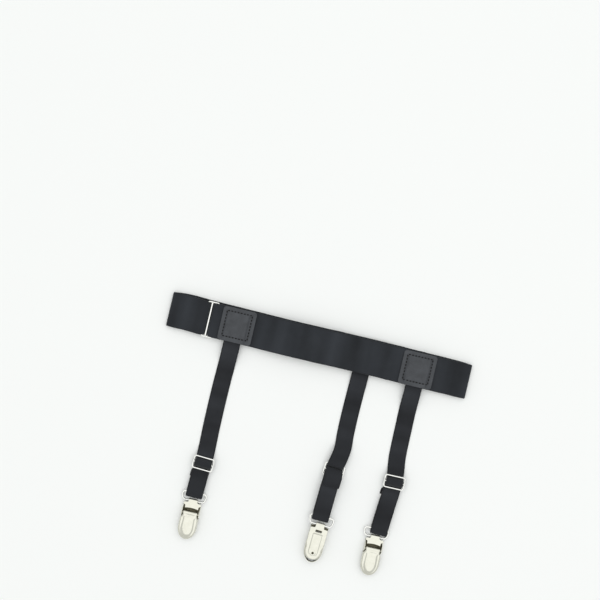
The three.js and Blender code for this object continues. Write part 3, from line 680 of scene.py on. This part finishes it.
def makeStrap(hanger):
    half, bar = strap["thick"] / 2, slideSize["bars"] / 2
    slideS, foldS = -hanger["slideY"], -hanger["foldY"] - foldTurn - strap["thick"] / 2
    startS = -(wanderAt(hanger["patchX"]) + patch["size"] / 2 - 2 * patch["soft"])
    upperRun = half + 2 * foldTurn
    tailEnd = slideS + strap["tail"] + bar
    wheels = [
        (startS, half, 0, 0), (slideS - strap["lead"], half, 0, 0), (slideS - bar, slideRise, strapTurn, 0),
        (slideS, slideRise, -strapTurn - strapLayer, 0), (slideS + bar, slideRise, strapTurn, 0),
        (tailEnd, upperRun, 0, 0), (foldS, half + foldTurn, -foldTurn, 0),
        (tailEnd + strap["tailStep"], half, 0, 0), (tailEnd, half + strapLayer, 0, 0),
        (slideS + bar, slideRise, -strapTurn - strapLayer, 0), (slideS, slideRise, strapTurn, 0),
        (slideS + bar, slideRise, strapTurn + 2 * strapLayer, 1), (tailEnd, half, 0, 1)]
    slideWay = strapWay(hanger, hanger["slideY"], slideSize["bars"])
    stations = []
    for s, n, mark in divided(beltPath(wheels), strap["step"]):
        y = -s
        fromBar = abs(s - slideS) - bar
        atBar = smoothStep((strap["barReach"] - fromBar) / strap["narrowLong"])
        along = strapWay(hanger, y, 1).lerp(slideWay, atBar).normalized()
        across = Vector((-along.y, along.x, 0))
        inSlide = smoothStep((strap["narrowReach"] - fromBar) / strap["narrowLong"])
        if hanger["out"] < 0:
            inSlide *= smoothStep((n - strap["offFloor"]) / strap["offFloorLong"])
        inRing = smoothStep((s - foldS + strap["ringLong"]) / strap["ringLong"])
        width = blendOf(blendOf(strap["width"], strap["inSlide"], inSlide), strap["inRing"], inRing)
        width += strap["uneven"] * noise.noise(Vector((s / strap["unevenLong"], hanger["patchX"], mark)))
        middle = strapPoint(hanger, y, n)
        middle.x += hanger["tailShift"] * mark * (1 - inSlide)
        stations.append({"middle": middle, "across": across, "width": width})
    stripPiece("strap" + hanger["name"], stations, strap["cells"], strap["thick"], strapElastic)


def makeSlide(hanger):
    outline = frameRun(slideSize)
    bar = barRun(slideSize["wide"], 0, slideSize["barSteps"])
    way = strapWay(hanger, hanger["slideY"], slideSize["bars"])
    middle = strapPoint(hanger, hanger["slideY"], slideRise)
    place = placeAt(middle) @ Matrix.Rotation(math.atan2(way.x, -way.y), 4, "Z")
    runs = [(outline, True, slideSize["outlineShare"]), (bar, False, 1)]
    wirePiece("slide" + hanger["name"], runs, slideSize["wire"], place)


clip = {"sheet": 0.8, "clear": 0.3, "height": 8.0}
# height of the ring's bar over the plate's back
clip["barC"] = clip["sheet"] + clip["clear"] + ringSize["wire"] / 2


def barHeight(hanger):
    return clip["barC"] if hanger["out"] > 0 else clip["height"] - clip["barC"]


def makeRing(hanger):
    nearZ, bars = barHeight(hanger), ringSize["bars"]
    farZ = strap["thick"] / 2 + foldTurn
    if hanger["out"] < 0:
        farZ = strapBase(hanger, hanger["barY"] + bars) - farZ
    tilt = math.atan2(farZ - nearZ, bars)
    place = (placeAt((hanger["ringX"], hanger["barY"], nearZ))
             @ Matrix.Rotation(math.radians(hanger["clipTurn"]), 4, "Z") @ Matrix.Rotation(tilt, 4, "X")
             @ Matrix.Translation((0, bars / 2, 0)))
    wirePiece("ring" + hanger["name"], [(frameRun(ringSize), True, 1)], ringSize["wire"], place)


for hanger in hangers:
    makeStrap(hanger)
    makeSlide(hanger)
    makeRing(hanger)
print("straps, slides and rings made")


# leather patches

patchLook = {
    "stitchHalf": 11.0, "stitchUp": 0.3, "groove": 0.42, "grooveWide": 0.9, "rimRound": 0.7, "rimDepth": 0.35,
    "crown": 0.1, "crownWide": 4, "thinner": 0.03, "wall": 0.92, "cells": 64, "closer": 0.85,
    "uneven": 0.04, "unevenLong": 5, "overReach": 1,
}
stitch = {
    "perSide": 8, "long": 1.7, "thick": 1.2, "high": 0.864, "up": 0.06, "askew": (-2, 3),
    "around": 12, "rings": 8,
}


def overStrap(hanger, x, dy):
    # 1 over the strap's end, 0 beside and above it
    fromEdge = abs(x - wayAt(hanger, dy)) - strap["width"] / 2
    fromEnd = dy - (patch["size"] / 2 - 2 * patch["soft"])
    reach = patchLook["overReach"] + patch["soft"]
    return smoothStep((reach - fromEdge) / patch["soft"]) * smoothStep((reach - fromEnd) / patch["soft"])


def patchMiddle(hanger):
    y = wanderAt(hanger["patchX"])
    return y if hanger["out"] > 0 else y + liftAt(hanger["patchX"])


def pressedAt(dx, dy):
    # how far the leather is pulled in by the stitching, from 0 to 1
    fromLine = abs(max(abs(dx), abs(dy - patchLook["stitchUp"])) - patchLook["stitchHalf"])
    return smoothStep(1 - fromLine / patchLook["grooveWide"])


def patchTop(hanger, dx, dy):
    # height of the patch's outer face: crowned, with a rounded rim and a pressed stitching line
    x = hanger["patchX"] + dx
    out = hanger["out"]
    onBand = faceAt(hanger, x) + out * strap["clear"]
    onStrap = seatOf(hanger) + out * (strap["thick"] + strap["clear"])
    under = blendOf(onBand, onStrap, overStrap(hanger, x, dy))
    fromRim = patch["size"] / 2 - max(abs(dx), abs(dy))
    rim = patchLook["rimRound"]
    rounded = patchLook["rimDepth"] * (1 - math.sqrt(max(0, 1 - (1 - min(fromRim / rim, 1)) ** 2)))
    groove = patchLook["groove"] * pressedAt(dx, dy)
    fromStitches = patchLook["stitchHalf"] - max(abs(dx), abs(dy))
    flatter = patchLook["crown"] * smoothStep(1 - fromStitches / patchLook["crownWide"])
    return under + out * (patch["thick"] - patchLook["thinner"] - rounded - groove - flatter)


def makePatch(hanger):
    look = patchLook
    half = patch["size"] / 2
    inner = half - patch["corner"]
    bm = bmesh.new()
    grooveShade = bm.verts.layers.float.new("grooveShade")
    addGrid(bm, look["cells"], look["cells"])
    for v in bm.verts:
        # rows and columns stand closer towards the rim
        dx, dy = (math.copysign(abs(t) ** look["closer"], t) * half for t in (v.co.x, v.co.y))
        pastX, pastY = abs(dx) - inner, abs(dy) - inner
        if pastX > 0 and pastY > 0:
            pull = max(pastX, pastY) / math.hypot(pastX, pastY)
            dx = math.copysign(inner + pastX * pull, dx)
            dy = math.copysign(inner + pastY * pull, dy)
        where = Vector((dx / look["unevenLong"], dy / look["unevenLong"], hanger["patchX"]))
        z = patchTop(hanger, dx, dy) + look["uneven"] * noise.noise(where)
        v.co = placed(hanger["patchX"] + dx, patchMiddle(hanger) + dy, z)
        # the groove's depth is stored for the leather's painted shade along the stitching
        v[grooveShade] = pressedAt(dx, dy)
    facing(bm, bm.faces[:], (0, 0, hanger["out"]))
    piece = newPiece("patch" + hanger["name"], bm, leather, "garter")
    addWall(piece, look["wall"] * millimetre, -1)
    addRounding(piece, 1)


def makeStitches(hanger):
    # short rounded threads in a square, each a little askew and tilted with the leather under it
    bm = bmesh.new()
    side, half, span = stitch["perSide"], patchLook["stitchHalf"], stitch["thick"] / 2
    out = hanger["out"]
    shape = Matrix.Diagonal((stitch["long"] / 2, stitch["thick"] / 2, stitch["high"] / 2, 1))
    upright = Matrix.Rotation(math.pi / 2, 4, "Y")
    for edge in range(4):
        turn = edge * math.pi / 2
        for k in range(side):
            at = Matrix.Rotation(turn, 3, "Z") @ Vector(((2 * (k + 0.5) / side - 1) * half, half, 0))
            dx, dy = at.x, at.y + patchLook["stitchUp"]
            z = patchTop(hanger, dx, dy) + out * stitch["up"]
            slope = (patchTop(hanger, dx + span, dy) - patchTop(hanger, dx - span, dy)) / (2 * span)
            place = (placeAt((hanger["patchX"] + dx, patchMiddle(hanger) + dy, z))
                     @ Matrix.Rotation(turn + math.radians(stitch["askew"][k % 2]), 4, "Z")
                     @ Matrix.Rotation(-math.atan(slope) if edge % 2 == 0 else 0, 4, "Y") @ shape @ upright)
            bmesh.ops.create_uvsphere(
                bm, u_segments=stitch["around"], v_segments=stitch["rings"], radius=1, matrix=place)
    newPiece("stitches" + hanger["name"], bm, thread, "garter", False)


for hanger in hangers:
    makePatch(hanger)
    makeStitches(hanger)
print("patches stitched")


# clips, drawn in (a, b, c): a from the ring's bar to the tip, b across, c from the plate's back to the lever

plate = {
    "length": 29.7, "width": 15.4, "tip": 6.5, "tipWidth": 4.5, "knuckle": 7.6, "sheet": 0.7,
    "backStart": 2.9, "flangeStart": 1.6, "flangeEnd": 6.5, "flangeNarrow": 12.0, "shoulder": 3.4,
    "taper": 0.9, "slotStart": 4.6, "slotEnd": 6.4, "slotHalf": 2.7, "channelStart": 7.3,
    "channelEnd": 23.7, "channelHalf": 4.5, "channelSlope": 0.9, "channelEase": 1.2, "press": 0.55,
    "rivetA": 24.8, "rivetHole": 0.75, "rivetRing": 1.7, "holeInside": 0.15, "boss": 2.7,
    "bossShare": 0.8, "round": 2.2, "inward": 0.45, "edgeDrop": 0.85, "easing": 8, "collar": 1.3,
    "arch": 0.8, "archLong": 3, "rowStep": 0.5, "tipRows": 16,
}
ear = {
    "start": 4.2, "end": 13.6, "top": 6.9, "low": 3.3, "foot": 1.4, "rise": 3.6, "fallFrom": 10.4,
    "long": 24, "high": 6,
}
lever = {
    "start": 8.6, "length": 33.2, "wide": 8.0, "neck": 6.4, "neckEnd": 13.7, "shoulder": 1.4, "tip": 10.5,
    "foot": 1.2, "pivotA": 10.6, "pivotC": 4.4, "heel": 3.0, "droop": 1.5, "droopFrom": 19, "droopHigh": 6.8,
    "sheet": 0.7, "panelStart": 12.2, "panelCorner": 1.0, "panelTop": 4.95, "panelLow": 5.3,
    "panelTurn": 22.6, "panelEnd": 30.9, "spineFrom": 4, "neckRim": 0.5, "rimEase": 3, "rearLong": 3.6,
    "rearEase": 3.2, "rear": 10, "side": 14, "round": 20,
}
pin = {
    "headB": 7.72, "headRadius": 1.25, "headThick": 0.28, "stemB": 6.7, "stemRadius": 0.8, "stemLong": 1.9,
    "around": 24,
}
pad = {
    "start": 17.5, "end": 31.2, "half": 5.8, "low": 1.4, "thick": 1.2, "round": 0.7, "tipShare": 0.3,
    "pitch": 1.7, "tooth": 0.9, "teeth": 5, "teethEase": 0.6, "teethHalf": 0.88, "teethSoft": 0.1,
    "rows": 84, "cells": 16, "straight": 0.6,
}


def clipPlace(hanger):
    place = (placeAt((hanger["ringX"], hanger["barY"], barHeight(hanger)))
             @ Matrix.Rotation(-math.pi / 2 + math.radians(hanger["clipTurn"]), 4, "Z"))
    if hanger["out"] < 0:
        place = place @ Matrix.Rotation(math.pi, 4, "X")
    return place @ Matrix.Translation((0, 0, -clip["barC"]))


def clipPiece(kind, hanger, body, bm, material, isNode=True):
    bm.transform(clipPlace(hanger))
    return newPiece(kind + hanger["name"], bm, material, body + nodeOf(hanger["name"]), isNode)


def fromRivet(a, b):
    return math.hypot(a - plate["rivetA"], b)


def plateHalf(a, onFlange):
    if onFlange:
        if a < plate["flangeStart"]:
            return plate["knuckle"] / 2
        narrowed = smoothStep((a - plate["shoulder"]) / plate["taper"])
        return blendOf(plate["width"], plate["flangeNarrow"], narrowed) / 2
    if a < plate["backStart"]:
        return plate["knuckle"] / 2
    t = min(max((a - plate["length"] + plate["tip"]) / plate["tip"], 0), 1)
    wide = plate["width"] - 2 * plate["inward"] * smoothStep((a - ear["end"]) / plate["easing"])
    return (plate["tipWidth"] + (wide - plate["tipWidth"]) * math.sqrt(max(1 - t * t, 0))) / 2


def plateRelief(a, b):
    # how far the back is pressed in: a long channel with a round end, a boss at the rivet, and the sides
    fromMiddle = math.hypot(max(a - plate["channelEnd"], 0), b)
    channel = smoothStep((plate["channelHalf"] - fromMiddle) / plate["channelSlope"])
    channel *= smoothStep((a - plate["channelStart"]) / plate["channelEase"])
    boss = smoothStep((plate["boss"] - fromRivet(a, b)) / plate["channelSlope"])
    side = min(max((abs(b) - plateHalf(a, False) + plate["round"]) / plate["round"], 0), 1)
    side *= smoothStep((a - ear["end"]) / plate["easing"])
    return plate["press"] * channel * (1 - plate["bossShare"] * boss) + plate["edgeDrop"] * side ** 2


def vertsOf(made):
    return [g for g in made if isinstance(g, bmesh.types.BMVert)]


def edgesOf(made):
    return [g for g in made if isinstance(g, bmesh.types.BMEdge)]


def addEar(bm, side, foot):
    # a side wall that rises into the ear
    made = addGrid(bm, ear["long"], ear["high"])
    for v, (i, j) in made.items():
        a = blendOf(ear["start"], ear["end"], i / ear["long"])
        rise = smoothStep((a - ear["start"]) / ear["rise"])
        fall = math.sqrt(max(0, 1 - max(0, (a - ear["fallFrom"]) / (ear["end"] - ear["fallFrom"])) ** 2))
        top = blendOf(ear["foot"], blendOf(ear["low"], ear["top"], rise), fall)
        v.co = Vector((a, side * (plate["width"] - plate["sheet"]) / 2, blendOf(foot, top, j / ear["high"])))
    facing(bm, list({f for v in made for f in v.link_faces}), (0, side, 0))


def makeClipPlate(hanger):
    middleC = clip["sheet"] / 2
    turn = clip["barC"] - middleC
    # rows along the sheet: from the flange's end round the bar and along the back to the tip
    step = 0.06
    flange = [plate["flangeEnd"], 6.1, 5.6, 5.0, 4.6, 4.3, 4.0, 3.7, 3.4, 3.0, 2.5, 2.0]
    flange += [plate["flangeStart"], plate["flangeStart"] - step]
    back = [plate["backStart"] - 1.0, plate["backStart"] - step, plate["backStart"], 3.5, 4.0]
    back += [plate["slotStart"], 5.2, 5.8, plate["slotEnd"]]
    tipFrom = plate["length"] - plate["tip"]
    rows = math.floor((tipFrom - plate["slotEnd"]) / plate["rowStep"])
    back += [blendOf(plate["slotEnd"], tipFrom, k / rows) for k in range(1, rows)]
    tipRows = plate["tipRows"]
    back += [tipFrom + plate["tip"] * math.sin(k / tipRows * math.pi / 2) for k in range(tipRows + 1)]
    wheels = [(a, clip["barC"] + turn, 0, 1) for a in flange]
    wheels += [(0, clip["barC"], turn, 1)] + [(a, middleC, 0, 0) for a in back]
    path = beltPath(wheels)
    half = plate["width"] / 2
    columns = [0, 0.5, 0.95, 1.5, 2.1, plate["slotHalf"], 3.2, 3.7, 4.15, 4.6, 5.1, 5.7, 6.3, 6.8, 7.2, half]
    columns = [-b / half for b in reversed(columns[1:])] + [b / half for b in columns]
    bm = bmesh.new()
    cell = addGrid(bm, len(path) - 1, len(columns) - 1)
    for v, (i, j) in cell.items():
        s, n, mark = path[i]
        b = columns[j] * plateHalf(s, mark > 0)
        onBack = mark < 0.5 and s > plate["slotEnd"]
        if mark == 1 and s > plate["shoulder"]:
            archShare = smoothStep((s - plate["shoulder"]) / plate["archLong"])
            s += plate["arch"] * (columns[j] ** 2 - 0.5) * archShare
        v.co = Vector((s, b, n + (plateRelief(s, b) if onBack else 0)))
    # the slot and the rivet's hole are cut out of the back
    holeRound = plate["rivetHole"] + plate["sheet"] / 2
    cut = []
    for face in bm.faces:
        at = face.calc_center_median()
        inSlot = plate["slotStart"] < at.x < plate["slotEnd"] and abs(at.y) < plate["slotHalf"]
        inHole = fromRivet(at.x, at.y) < holeRound - plate["holeInside"]
        if at.z < clip["barC"] and (inSlot or inHole):
            cut.append(face)
    bmesh.ops.delete(bm, geom=cut, context="FACES")
    rimVerts = set()
    for v in bm.verts:
        away = fromRivet(v.co.x, v.co.y)
        if v.is_boundary and away < plate["rivetRing"] * holeRound and v.co.z < clip["barC"]:
            v.co.x = plate["rivetA"] + (v.co.x - plate["rivetA"]) * holeRound / away
            v.co.y *= holeRound / away
            rimVerts.add(v)
    rim = [e for e in bm.edges if e.is_boundary and all(v in rimVerts for v in e.verts)]
    collar = bmesh.ops.extrude_edge_only(bm, edges=rim)["geom"]
    bmesh.ops.translate(bm, verts=vertsOf(collar), vec=(0, 0, plate["collar"]))
    bmesh.ops.contextual_create(bm, geom=[e for e in edgesOf(collar) if e.is_boundary])
    # the rivet hole's collar and its closing face take the dark inside material: painted shade in the hole
    for face in {f for v in vertsOf(collar) for f in v.link_faces}:
        face.material_index = 1
    # the sheet's outer side is the one that looks down at the middle of the back
    sheetFaces = bm.faces[:]
    centres = {f: f.calc_center_median() for f in sheetFaces}
    low = min(sheetFaces, key=lambda f: abs(centres[f].x - plate["length"] / 2) + abs(centres[f].z))
    facing(bm, [low] + [f for f in sheetFaces if f is not low], (0, 0, -1))
    for side in (-1, 1):
        addEar(bm, side, middleC)
    piece = clipPiece("clipPlate", hanger, "clip", bm, nickel)
    # the sheet's inner side takes the dark inside material as painted shade
    piece.data.materials.append(insideShadeNickel)
    addWall(piece, plate["sheet"] * millimetre, 0, 1)
    addRounding(piece, 1)


def makeClipPad(hanger):
    # even rows, then rows that follow the rounded end; the teeth run across under the lever
    bm = bmesh.new()
    roundLong = pad["half"] * pad["round"]
    evenRows = pad["straight"] * pad["rows"]
    evenEnd = math.sin(pad["straight"] * math.pi / 2)
    for v, (i, j) in addGrid(bm, pad["rows"], pad["cells"]).items():
        along = math.sin(i / pad["rows"] * math.pi / 2) if i > evenRows else evenEnd * i / evenRows
        a = blendOf(pad["start"], pad["end"], along)
        share = 2 * j / pad["cells"] - 1
        t = min(max((a - pad["end"] + roundLong) / roundLong, 0), 1)
        b = share * pad["half"] * max(math.sqrt(max(1 - t * t, 0)), pad["tipShare"])
        inTeeth = smoothStep((a - pad["end"] + pad["teeth"] * pad["pitch"]) / pad["teethEase"])
        inTeeth *= smoothStep((pad["teethHalf"] - abs(share)) / pad["teethSoft"])
        tooth = abs(2 * ((pad["end"] - a) / pad["pitch"] % 1) - 1)
        v.co = Vector((a, b, pad["low"] + pad["thick"] + pad["tooth"] * tooth * inTeeth))
    facing(bm, bm.faces[:], (0, 0, 1))
    piece = clipPiece("clipPad", hanger, "clip", bm, clearPlastic)
    addWall(piece, pad["thick"] * millimetre, -1)


def drawnOut(bm, count, contours):
    # a ring of edges drawn out from one contour to the next
    ring = {v: k for k, v in enumerate(bmesh.ops.create_circle(bm, segments=count, radius=1)["verts"])}
    edges = list({e for v in ring for e in v.link_edges})
    for v, k in ring.items():
        v.co = contours[0](k)
    for contour in contours[1:]:
        made = bmesh.ops.extrude_edge_only(bm, edges=edges)["geom"]
        fresh, old = vertsOf(made), ring
        ring = {v: next(old[e.other_vert(v)] for e in v.link_edges if e.other_vert(v) in old) for v in fresh}
        edges = [e for e in edgesOf(made) if all(v in ring for v in e.verts)]
        for v, k in ring.items():
            v.co = contour(k)


def leverSeat(k):
    # which run of the lever's outline a point is on, and how far along it
    rear, side, tip = lever["rear"], lever["side"], lever["round"]
    if k < rear:
        return "rear", k / rear, 1
    if k < rear + side:
        return "side", (k - rear) / side, 1
    if k < rear + side + tip:
        return "tip", (k - rear - side) / tip, 1
    return "side", 1 - (k - rear - side - tip) / side, -1


def leverHalf(a):
    return blendOf(lever["neck"], lever["wide"], smoothStep((a - lever["neckEnd"]) / lever["shoulder"]))


def outlinePoint(k, inset):
    # point k of the outline drawn in by inset, less so along the neck between the ears
    run, share, sideOf = leverSeat(k)
    tipFrom = lever["length"] - lever["tip"]
    if run == "rear":
        return lever["start"] + inset, (2 * share - 1) * (lever["neck"] - inset * lever["neckRim"])
    if run == "side":
        a = blendOf(lever["start"] + inset, tipFrom, share)
        drawnIn = inset * blendOf(lever["neckRim"], 1, smoothStep((a - lever["neckEnd"]) / lever["rimEase"]))
        return a, sideOf * (leverHalf(a) - drawnIn)
    angle = share * math.pi
    return tipFrom + (lever["tip"] - inset) * math.sin(angle), (lever["wide"] - inset) * math.cos(angle)


def panelPoint(k, inset):
    # the same point on the edge of the raised panel
    run, share, sideOf = leverSeat(k)
    if run == "rear":
        corner = lever["panelCorner"] * abs(2 * share - 1) ** 5
        return lever["panelStart"] + inset + corner, (2 * share - 1) * (lever["panelTop"] - inset)
    if run == "side":
        a = blendOf(lever["panelStart"] + inset + lever["panelCorner"], lever["panelTurn"], share)
        return a, sideOf * (blendOf(lever["panelTop"], lever["panelLow"], share) - inset)
    angle = share * math.pi
    return (lever["panelTurn"] + (lever["panelEnd"] - lever["panelTurn"] - inset) * math.sin(angle),
            (lever["panelLow"] - inset) * math.cos(angle))


# each line round the lever: drawn in from the outline, share of the way to the panel (above 1: on to its
# spine), drawn in from the panel, height at the sides (None: the heel's curve), height at the rear
leverLines = [
    (0.15, 0, 0, None, 5.4), (0.0, 0, 0, 2.6, 5.8), (0.0, 0, 0, 4.6, 6.2), (0.1, 0, 0, 5.6, 6.8),
    (0.45, 0, 0, 6.35, 7.25), (1.0, 0, 0, 6.75, 7.5), (1.7, 0, 0, 6.95, 7.45), (1.9, 0.6, 0, 7.0, 7.15),
    (0, 1, 0, 7.07, 7.07), (0, 1, 0.4, 7.36, 7.36), (0, 1, 0.9, 7.68, 7.68), (0, 1, 1.7, 7.88, 7.88),
    (0, 1, 2.7, 7.95, 7.95), (0, 1.4, 2.7, 7.95, 7.95), (0, 1.75, 2.7, 7.95, 7.95), (0, 2, 2.7, 7.95, 7.95),
]


def leverContour(line):
    inset, towards, panelInset, sideC, rearC = line

    def at(k):
        run, share, _ = leverSeat(k)
        a, b = outlinePoint(k, inset)
        panelA, panelB = panelPoint(k, panelInset)
        if towards <= 1:
            a, b = blendOf(a, panelA, towards), blendOf(b, panelB, towards)
        else:
            spineStart = lever["panelStart"] + lever["spineFrom"]
            alongSpine = {"rear": 0, "side": share, "tip": 1}[run]
            spine = blendOf(spineStart, lever["panelTurn"], alongSpine)
            a, b = blendOf(panelA, spine, towards - 1), panelB * (2 - towards)
        nearRear = smoothStep((lever["start"] + lever["rearLong"] - a) / lever["rearEase"])
        atRear = {"rear": 1, "side": nearRear, "tip": 0}
        heel = lever["pivotC"] - math.sqrt(max(lever["heel"] ** 2 - max(lever["pivotA"] - a, 0) ** 2, 0))
        c = blendOf(sideC, rearC, atRear[run]) if sideC is not None else rearC if run == "rear" else heel
        pastDroop = max(0, (a - lever["droopFrom"]) / (lever["length"] - lever["droopFrom"]))
        droop = lever["droop"] * pastDroop ** 2
        return Vector((a, b, c - droop * max(0, c - lever["foot"]) / lever["droopHigh"]))

    return at


def makeClipLever(hanger):
    bm = bmesh.new()
    count = lever["rear"] + 2 * lever["side"] + lever["round"]
    drawnOut(bm, count, [leverContour(line) for line in leverLines])
    bmesh.ops.remove_doubles(bm, verts=bm.verts, dist=0.02)
    bmesh.ops.dissolve_degenerate(bm, edges=bm.edges, dist=0.001)
    bmesh.ops.recalc_face_normals(bm, faces=bm.faces)
    faces = sorted(bm.faces, key=lambda f: -f.calc_center_median().z)
    facing(bm, faces, (0, 0, 1))
    piece = clipPiece("clipLever", hanger, "lever", bm, nickel)
    # the lever's inner side takes the dark inside material as painted shade
    piece.data.materials.append(insideShadeNickel)
    addWall(piece, lever["sheet"] * millimetre, -1, 1)
    addRounding(piece, 2)


def makeLeverPins(hanger):
    # a stem through each ear with a domed head outside it
    bm = bmesh.new()
    across = Matrix.Rotation(math.pi / 2, 4, "X")
    domed = Matrix.Diagonal((pin["headRadius"], pin["headThick"], pin["headRadius"], 1))
    for side in (-1, 1):
        head = Matrix.Translation((lever["pivotA"], side * pin["headB"], lever["pivotC"])) @ domed @ across
        bmesh.ops.create_uvsphere(
            bm, u_segments=pin["around"], v_segments=pin["around"] // 2, radius=1, matrix=head)
        stem = Matrix.Translation((lever["pivotA"], side * pin["stemB"], lever["pivotC"])) @ across
        bmesh.ops.create_cone(
            bm, cap_ends=True, segments=pin["around"], radius1=pin["stemRadius"], radius2=pin["stemRadius"],
            depth=pin["stemLong"], matrix=stem)
    clipPiece("leverPins", hanger, "lever", bm, nickel, False)


for hanger in hangers:
    makeClipPlate(hanger)
    makeClipPad(hanger)
    makeClipLever(hanger)
    makeLeverPins(hanger)
print("clips made")


# floor and light

studio = {
    "floor": (0.93, 0.94, 0.93, 1), "floorHalf": 6, "floorRough": 0.9,
    "sky": (0.765, 0.775, 0.768, 1), "softbox": 13.7, "softboxWide": 3.0,
    "softboxAt": (0.15, 0.25, 1.6), "softboxAim": (0.1, 0.15, 0),
}

bm = bmesh.new()
bmesh.ops.create_grid(bm, x_segments=1, y_segments=1, size=studio["floorHalf"])
floorMesh = bpy.data.meshes.new("floor")
bm.to_mesh(floorMesh)
bm.free()
floorMaterial, floorFlow, floorSurface, _ = newFinish("floor")
feed(floorFlow, floorSurface, Base_Color=studio["floor"], Roughness=studio["floorRough"])
floorMesh.materials.append(floorMaterial)
floor = linked("floor", floorMesh)

world = bpy.data.worlds.new("studio")
world.use_nodes = True
world.node_tree.nodes["Background"].inputs["Color"].default_value = studio["sky"]
bpy.context.scene.world = world

light = bpy.data.lights.new("overhead", "AREA")
light.shape, light.size, light.energy = "SQUARE", studio["softboxWide"], studio["softbox"]
softbox = linked("overhead", light)
softbox.location = studio["softboxAt"]
aim = Vector(studio["softboxAim"]) - Vector(studio["softboxAt"])
softbox.rotation_euler = aim.to_track_quat("-Z", "Y").to_euler()

print("scene ready")
